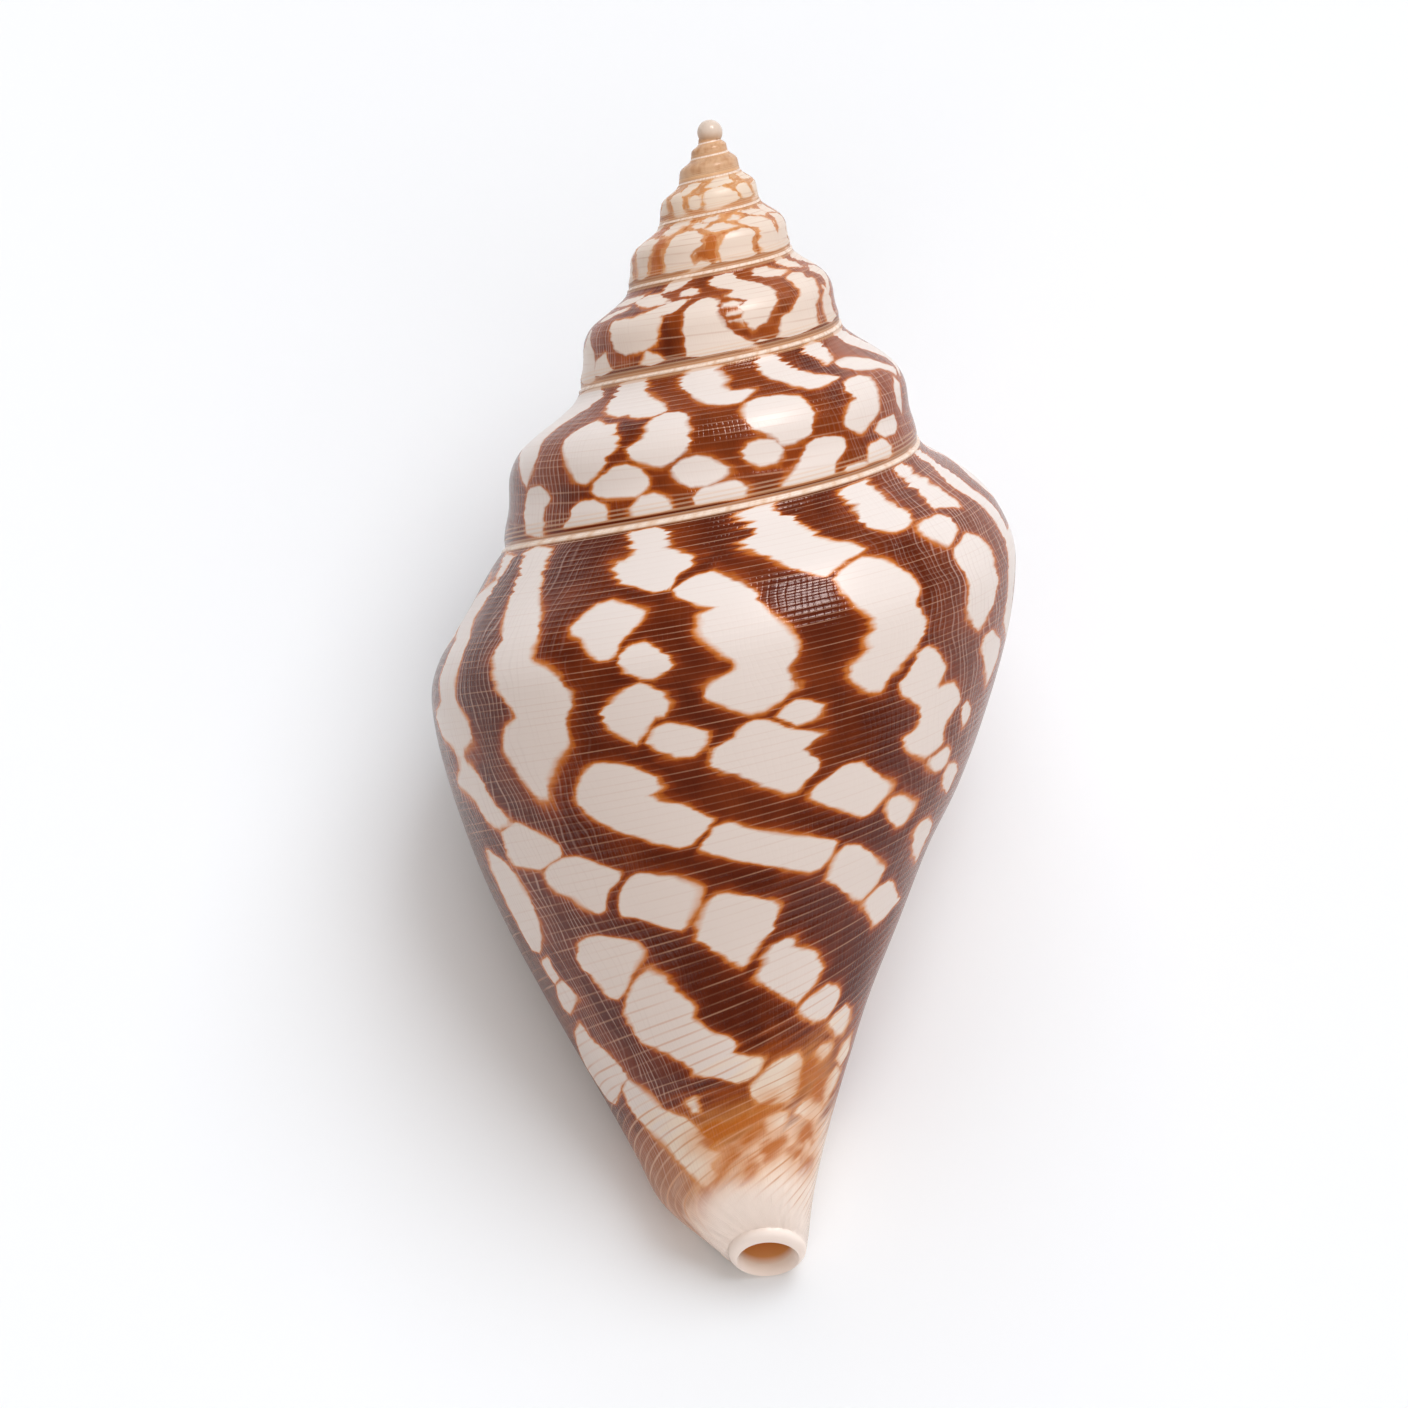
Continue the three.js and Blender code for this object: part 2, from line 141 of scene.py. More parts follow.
# Fineness of the mesh
COLUMNS = 300  # to a turn
COLUMN_CROWDING = 0.35
CROWDING_ROUNDS = 60
CORD_ROWS = np.array([0, 0.02, 0.05, 0.08, 0.11, 0.14, 0.17, 0.2, 0.23, 0.27, 0.32, 0.4, 0.5])
SPIRE_ROWS = 44
BASE_ROWS = 108
HOLLOW_COLUMNS = 64
HOLLOW_SAMPLES = 44
PROFILE_SAMPLES = 240
BORE_STEPS = 80
BORE_SIDES = 72
FLARE_LENGTH = 0.8
FLARE_END = 1.5
BEAD_SEGMENTS = 40
RING_STEPS = 7
HEAD_STEP = 0.02
MATCH_DISTANCE = 1e-3
SHARP_ANGLE = 50

# Relief of the surface
INSET = 0.1  # the mesh keeps this far inside the part's box
FIT_ROOM = 2e-5  # space left between the mesh and the part's box, as a share of its size
CORD_WIDTH = 0.58  # of the cord along the suture, on the last whorl
CORD_HEIGHT = 0.11
CORD_GROOVE = 0.05
GROOVE_SHARE = 0.35  # depth of the groove, as a share of the cord's height
CORD_START = -5.2  # the turn where the cord starts,
CORD_START_TURNS = 1.5  # to grow to its height over this many turns


def scale_at(turn):
    older = np.maximum(0, -turn - NARROW_TURNS)
    return GROWTH ** turn * (1 - NARROWING * older)


def angle_at(turn):
    return 2 * np.pi * (turn + 0.25)


def smooth_value(xs, ys, x):
    """Value at x of a smooth curve through xs, ys that never overshoots; it stays level beyond its ends."""
    steps = np.diff(xs)
    rises = np.diff(ys) / steps
    slopes = np.empty(len(xs))
    slopes[0], slopes[-1] = rises[0], rises[-1]
    for i in range(1, len(xs) - 1):
        before, after = rises[i - 1], rises[i]
        if before * after <= 0:
            slopes[i] = 0
            continue
        a = 2 * steps[i] + steps[i - 1]
        b = steps[i] + 2 * steps[i - 1]
        slopes[i] = (a + b) / (a / before + b / after)
    inside = np.clip(x, xs[0], xs[-1])
    i = np.clip(np.searchsorted(xs, inside, side="left") - 1, 0, len(xs) - 2)
    step = steps[i]
    s = (inside - xs[i]) / step
    s2, s3 = s * s, s ** 3
    ys = np.asarray(ys)
    return (ys[i] * (2 * s3 - 3 * s2 + 1) + step * slopes[i] * (s3 - 2 * s2 + s)
            + ys[i + 1] * (3 * s2 - 2 * s3) + step * slopes[i + 1] * (s3 - s2))


def grown(size, turn, multiple):
    return size * scale_at(turn + np.log(multiple) / np.log(GROWTH))


def ring_point(angle):
    towards = RING_LEFT * np.sin(angle)
    aside = RING_LEFT * np.cos(angle)
    radius = towards + np.sqrt(RING_RADIUS ** 2 - aside ** 2)
    depth = RING_DEPTH - math.tan(math.radians(RING_SLANT)) * radius * np.cos(angle)
    return depth, radius


def profile_points(turns, with_ring):
    """Depth and radius of each profile point at each turn: an array of turns by points by 2."""
    points = np.empty((len(turns), RING_LINE + int(with_ring), 2))
    for i in range(RING_LINE):
        depth, radius = (smooth_value(KEY_TURNS, KEY_PROFILES[:, i, axis], turns) for axis in (0, 1))
        points[:, i, 0] = grown(SUTURE_DEPTH, turns, depth) - TIP_LIFT
        points[:, i, 1] = grown(SUTURE_RADIUS, turns, radius)
    if with_ring:
        points[:, RING_LINE] = np.stack(ring_point(angle_at(turns)), axis=1)
    return points


def smooth_through(points, row, u):
    """Points of the smooth curve through a row of points, at the place u of each pair of row and u."""
    first = 2 * points[:, :1] - points[:, 1:2]
    last = 2 * points[:, -1:] - points[:, -2:-1]
    full = np.concatenate([first, points, last], axis=1)
    gaps = np.sqrt(np.sqrt(((full[:, 1:] - full[:, :-1]) ** 2).sum(2)))
    i = np.clip(np.floor(u).astype(int), 0, points.shape[1] - 2)
    weight = (u - i)[:, None]
    p0, p1, p2, p3 = (full[row, i + k] for k in range(4))
    d0, d1, d2 = (gaps[row, i + k][:, None] for k in range(3))
    t1 = ((p1 - p0) / d0 - (p2 - p0) / (d0 + d1) + (p2 - p1) / d1) * d1
    t2 = ((p2 - p1) / d1 - (p3 - p1) / (d1 + d2) + (p3 - p2) / d2) * d1
    c2 = -3 * p1 + 3 * p2 - 2 * t1 - t2
    c3 = 2 * p1 - 2 * p2 + t1 + t2
    return p1 + weight * (t1 + weight * (c2 + weight * c3))


def lean(u):
    upper = UPPER_LEAN * np.sin(np.pi * u / COVER_LINE)
    lower = LOWER_LEAN * np.sin(np.pi * (u - COVER_LINE) / (RING_LINE - COVER_LINE))
    return np.radians(np.where(u < COVER_LINE, upper, lower))


def placed(sideways, depth, height):
    """Bends the canal towards the back: sideways, depth and height above the axis."""
    bend_radius = BEND_LENGTH / math.radians(BEND_ANGLE)
    angle = np.maximum(0, depth - BEND_START) / bend_radius
    arm = bend_radius - height
    y = np.where(depth > BEND_START, -BEND_START - arm * np.sin(angle), -depth)
    z = np.where(depth > BEND_START, bend_radius - arm * np.cos(angle), height)
    return np.stack([sideways + 0 * y, y, z], axis=-1)


def around_axis(depth, radius, angle):
    return placed(-radius * np.sin(angle), depth, radius * np.cos(angle))


def depth_and_radius(turn, u):
    """Depth and radius of the whorl's surface at each pair of turn and u."""
    turns, row = np.unique(turn, return_inverse=True)
    young = turns >= LIP_TURN - 1 - 1e-9
    found = np.empty((len(turn), 2))
    for with_ring in (False, True):
        chosen = young == with_ring
        if not chosen.any():
            continue
        points = profile_points(turns[chosen], with_ring)
        number = np.cumsum(chosen) - 1
        mine = chosen[row]
        found[mine] = smooth_through(points, number[row[mine]], u[mine])
    return found


def surface_point(turn, u):
    depth, radius = depth_and_radius(turn, u).T
    return around_axis(depth, radius, angle_at(turn) + lean(u))


def plane_of_ring(corners):
    """The centre of the ring's corners and the direction out of it."""
    centre = corners.mean(0)
    outward = np.cross(corners[0] - centre, corners[COLUMNS // 4] - centre)
    return centre, outward / np.linalg.norm(outward)


# The outside as a grid of columns, from the bead to the lip, and rows, from the suture to the ring

def row_places():
    upper = np.linspace(CORD_ROWS[-1], COVER_LINE, SPIRE_ROWS - len(CORD_ROWS) + 2)[1:]
    base = np.linspace(COVER_LINE, RING_LINE, BASE_ROWS + 1)[1:]
    return np.concatenate([CORD_ROWS, upper, base])


def column_turns():
    """Turns of the columns, closer together on the shell's back."""
    def crowded(turn):
        return turn - COLUMN_CROWDING / (2 * np.pi) * np.sin(angle_at(turn))
    last = LIP_TURN
    for _ in range(CROWDING_ROUNDS):
        last += LIP_TURN - crowded(last)
    count = int((SPIRE_TURNS + 1) * COLUMNS)
    return crowded(last - SPIRE_TURNS - 1 + np.arange(count + 1) / COLUMNS)


class Outside:
    """The filled outside of the shell: its corners with their turn and u, and its faces."""

    def __init__(self):
        self.turns = column_turns()
        self.rows = row_places()
        self.lip = len(self.turns) - 1
        self.pillar = self.lip - COLUMNS
        # Old, small whorls have every second row, and the oldest every fourth
        self.steps = np.where(self.turns < LIP_TURN - 4, 4, np.where(self.turns < LIP_TURN - 2, 2, 1))
        self.number_corners()
        self.points = surface_point(self.turn, self.u)
        self.draw_back()
        self.faces = self.strip() + self.cap()
        self.close_start()
        self.close_ring()

    def draw_back(self):
        """Draws the end of the canal's wall back from the ring's plane."""
        centre, outward = plane_of_ring(self.points[self.numbers[self.pillar:self.lip, -1]])
        near = np.flatnonzero(self.u > RING_LINE - BACK_ROWS)
        back = (centre - self.points[near]) @ outward
        share = np.clip(1 - back / BACK_LENGTH, 0, 1) ** 2
        self.points[near] -= RING_BACK * share[:, None] * outward

    def number_corners(self):
        self.numbers = -np.ones((len(self.turns), len(self.rows)), int)
        turn, u = [], []
        for j, here in enumerate(self.turns):
            spire = j < self.pillar
            mine = np.arange(0, SPIRE_ROWS, self.steps[j]) if spire else np.arange(len(self.rows))
            self.numbers[j, mine] = len(turn) + np.arange(len(mine))
            turn += [here] * len(mine)
            u += list(self.rows[mine])
        self.numbers[:self.pillar, SPIRE_ROWS] = self.numbers[COLUMNS:self.lip, 0]
        self.numbers[self.pillar, SPIRE_ROWS] = self.numbers[self.lip, 0]
        self.numbers[self.lip, -1] = self.numbers[self.pillar, -1]
        self.turn, self.u = np.array(turn), np.array(u)

    def strip(self):
        faces = []
        for j in range(self.lip):
            left, right = self.numbers[j], self.numbers[j + 1]
            last = SPIRE_ROWS if j < self.pillar else len(self.rows) - 1
            coarse, fine = self.steps[j], self.steps[j + 1]
            for i in range(0, last, coarse):
                down = [right[k] for k in range(i, i + coarse + 1, fine)]
                faces.append([left[i], *down, left[i + coarse]])
        return faces

    def cap(self):
        """Flat face from the lip to the pillar."""
        left, right = self.numbers[self.pillar, SPIRE_ROWS:], self.numbers[self.lip]
        faces = []
        i = j = 0
        while i < len(left) - 1 or j < len(right) - 1:
            left_next, right_next = (i + 1) / (len(left) - 1), (j + 1) / (len(right) - 1)
            if j == len(right) - 1 or (i < len(left) - 1 and left_next <= right_next):
                faces.append([left[i], left[i + 1], right[j]])
                i += 1
            else:
                faces.append([left[i], right[j + 1], right[j]])
                j += 1
        return [face for face in faces if len(set(face)) == 3]

    def close_start(self):
        """Closes the start of the spiral, inside the bead."""
        hub = len(self.points)
        self.points = np.vstack([self.points, [placed(0.0, BEAD_DEPTH, 0.0)]])
        side = self.numbers[0, self.steps[0]:SPIRE_ROWS:self.steps[0]]
        loop = [*self.numbers[:COLUMNS + 1, 0], *side[::-1]]
        for i, corner in enumerate(loop):
            self.faces.append([hub, loop[(i + 1) % len(loop)], corner])

    def close_ring(self):
        """Rounds the edge of the ring and closes it."""
        ring = self.numbers[self.pillar:self.lip, -1]
        centre, outward = plane_of_ring(self.points[ring])
        spokes = self.points[ring] - centre
        lengths = np.linalg.norm(spokes, axis=1)[:, None]
        for step in range(1, RING_STEPS + 1):
            turned = math.pi / 2 * step / RING_STEPS
            inset = RING_INSET * (1 - math.cos(turned))
            out = RING_ROUNDING * math.sin(turned)
            inner = len(self.points) + np.arange(COLUMNS)
            rim = centre + spokes * (1 - inset / lengths) + out * outward
            self.points = np.vstack([self.points, rim])
            for i in range(COLUMNS):
                k = (i + 1) % COLUMNS
                self.faces.append([ring[i], ring[k], inner[k], inner[i]])
            ring = inner
        hub = len(self.points)
        self.points = np.vstack([self.points, [centre + RING_ROUNDING * outward]])
        for i in range(COLUMNS):
            self.faces.append([ring[i], ring[(i + 1) % COLUMNS], hub])

    def normals(self):
        """Normals at the corners, weighted by the area around them."""
        fans = [[f[0], f[k], f[k + 1]] for f in self.faces for k in range(1, len(f) - 1)]
        triangles = np.array(fans)
        a, b, c = (self.points[triangles[:, k]] for k in range(3))
        across = np.cross(b - a, c - a)
        total = np.zeros_like(self.points)
        for k in range(3):
            np.add.at(total, triangles[:, k], across)
        return total / np.maximum(np.linalg.norm(total, axis=1), 1e-12)[:, None]


def cord_relief(turn, u):
    """Height of the cord along the suture, with a fine groove on each side."""
    scale = np.sqrt(scale_at(turn))
    across = u * SUTURE_STEP * scale_at(turn)
    width = CORD_WIDTH * scale
    inside = np.clip((across - CORD_GROOVE) / width, 0, 1)
    ridge = CORD_HEIGHT * scale * np.sin(np.pi * inside)
    below = (across - CORD_GROOVE - width) / CORD_GROOVE
    groove = GROOVE_SHARE * CORD_HEIGHT * scale * np.exp(-(below - 1) ** 2)
    fade = np.clip((turn - CORD_START) / CORD_START_TURNS, 0, 1)
    return np.where(across > 0, fade * (ridge - groove), 0)


# The hollow and the bore

def pillar_radius(turn, depth):
    """Radius of the inner wall and the pillar under the whorl at a turn."""
    scale = scale_at(turn - 1)
    multiples = np.array(SPIRE_PROFILE[COVER_LINE - 1:] + INNER_WALL)
    depths = SUTURE_DEPTH * scale * multiples[:, 0] - TIP_LIFT
    radii = SUTURE_RADIUS * scale * multiples[:, 1]
    return smooth_value(depths, radii, depth) + LINING


def hollow_outline(turn):
    """Depth and radius round the hollow, in the half plane at a turn."""
    end = RING_LINE - 1 if turn < LIP_TURN - 1 else RING_LINE
    u = np.linspace(0, end, PROFILE_SAMPLES + 1)
    depths, radii = depth_and_radius(np.full(len(u), turn), u).T
    slopes = np.gradient(radii, depths)
    wall = WALL * scale_at(turn)
    foot = HOLLOW_FOOT * scale_at(turn)

    def outer(depth):
        slope = np.interp(depth, depths, slopes)
        return np.interp(depth, depths, radii) - wall * np.sqrt(1 + slope ** 2)

    heads = np.arange(depths[0], foot, HEAD_STEP)
    head = heads[np.argmax(outer(heads) >= pillar_radius(turn, heads))]
    angle = 2 * np.pi * np.arange(HOLLOW_SAMPLES) / HOLLOW_SAMPLES
    depth = head + (foot - head) * (1 - np.cos(angle)) / 2
    outside, inside = outer(depth), pillar_radius(turn, depth)
    to_foot = np.maximum(0, 1 - (foot - depth) / (FOOT_ROUNDING * scale_at(turn)))
    half = (outside - inside) / 2 * np.sqrt(np.maximum(0, 1 - to_foot ** 2))
    return depth, (outside + inside) / 2 + np.sign(np.sin(angle)) * half


def tube_faces(count, size):
    """Faces of a closed tube through count rings of size corners, with a hub at each end."""
    faces = []
    for j in range(count - 1):
        for i in range(size):
            k = (i + 1) % size
            faces.append([j * size + i, (j + 1) * size + i, (j + 1) * size + k, j * size + k])
    first, last = count * size, count * size + 1
    for i in range(size):
        k = (i + 1) % size
        faces.append([first, i, k])
        faces.append([last, (count - 1) * size + k, (count - 1) * size + i])
    return faces


def tube(rings):
    points = np.vstack([*rings, rings[0].mean(0), rings[-1].mean(0)])
    return points, tube_faces(len(rings), len(rings[0]))


def hollow():
    steps = round((HOLLOW_LAST - HOLLOW_FIRST) * HOLLOW_COLUMNS)
    rings = []
    for turn in np.linspace(HOLLOW_FIRST, HOLLOW_LAST, steps + 1):
        depth, radius = hollow_outline(turn)
        rings.append(around_axis(depth, radius, angle_at(turn)))
    return tube(rings)


def bore():
    place = np.linspace(0, len(BORE_PATH) - 1, BORE_STEPS + 1)
    middles = smooth_through(BORE_PATH[None], np.zeros(len(place), int), place)
    angle = 2 * np.pi * np.arange(BORE_SIDES) / BORE_SIDES
    rings = []
    for x, depth, z in middles:
        mouth = RING_DEPTH - math.tan(math.radians(RING_SLANT)) * (z + BORE_RADIUS * np.sin(angle))
        flare = np.clip(1 + (depth - mouth) / FLARE_LENGTH, 0, FLARE_END)
        radius = BORE_RADIUS + BORE_FLARE * flare ** 2
        around = placed(x + radius * np.cos(angle), np.full(BORE_SIDES, depth), z + radius * np.sin(angle))
        rings.append(around)
    return tube(rings)


# Meshes

def mesh_object(name, points, faces):
    mesh = bpy.data.meshes.new(name)
    mesh.from_pydata([tuple(p) for p in points], [], [[int(i) for i in face] for face in faces])
    made = bpy.data.objects.new(name, mesh)
    bpy.context.scene.collection.objects.link(made)
    return made


def facing_out(made):
    """Turns the faces of a closed mesh outward."""
    shape = bmesh.new()
    shape.from_mesh(made.data)
    if shape.calc_volume(signed=True) < 0:
        bmesh.ops.reverse_faces(shape, faces=shape.faces)
    shape.to_mesh(made.data)
    shape.free()
    return made


def combined(made, other, operation):
    """Joins made and other or cuts one with the other, which is used up."""
    modifier = made.modifiers.new("cut", "BOOLEAN")
    modifier.operation = operation
    modifier.solver = "MANIFOLD"
    modifier.object = other
    done = bpy.data.meshes.new_from_object(made.evaluated_get(bpy.context.evaluated_depsgraph_get()))
    made.modifiers.clear()
    old = made.data
    made.data = done
    bpy.data.meshes.remove(old)
    bpy.data.objects.remove(other)
    return made


def bead():
    angle = 2 * np.pi * np.arange(BEAD_SEGMENTS) / BEAD_SEGMENTS
    rings = []
    for tilt in np.linspace(0, np.pi, BEAD_SEGMENTS // 2 + 1)[1:-1]:
        around = BEAD_RADIUS * np.sin(tilt)
        along = np.full(BEAD_SEGMENTS, BEAD_RADIUS * np.cos(tilt) - BEAD_DEPTH)
        rings.append(np.stack([around * np.cos(angle), along, around * np.sin(angle)], axis=1))
    points = np.vstack([*rings, (0, BEAD_RADIUS - BEAD_DEPTH, 0), (0, -BEAD_RADIUS - BEAD_DEPTH, 0)])
    return points, tube_faces(len(rings), BEAD_SEGMENTS)


REST = np.array((Matrix.Rotation(math.radians(REST_PITCH), 3, "X")
                 @ Matrix.Rotation(math.radians(REST_ROLL), 3, "Y")))


def in_frame(points):
    """Points of the shell, in millimetres with the spire along +Y, as they lie in the frame of the part."""
    return TIP_PLACE + points @ REST.T


def build_shell():
    """The shell as one mesh in millimetres, and the turn and u of the corners of its outside."""
    outside = Outside()
    normals = outside.normals()
    corners = len(outside.turn)
    relief = np.zeros(len(outside.points))
    relief[:corners] = cord_relief(outside.turn, outside.u)
    points = outside.points + normals * (relief - INSET)[:, None]
    shell = facing_out(mesh_object("shell_body", points, outside.faces))
    for shape, operation in ((bead(), "UNION"), (hollow(), "DIFFERENCE"), (bore(), "DIFFERENCE")):
        combined(shell, facing_out(mesh_object("tool", *shape)), operation)
    return shell, points[:corners], normals[:corners], outside.turn, outside.u


# Markings

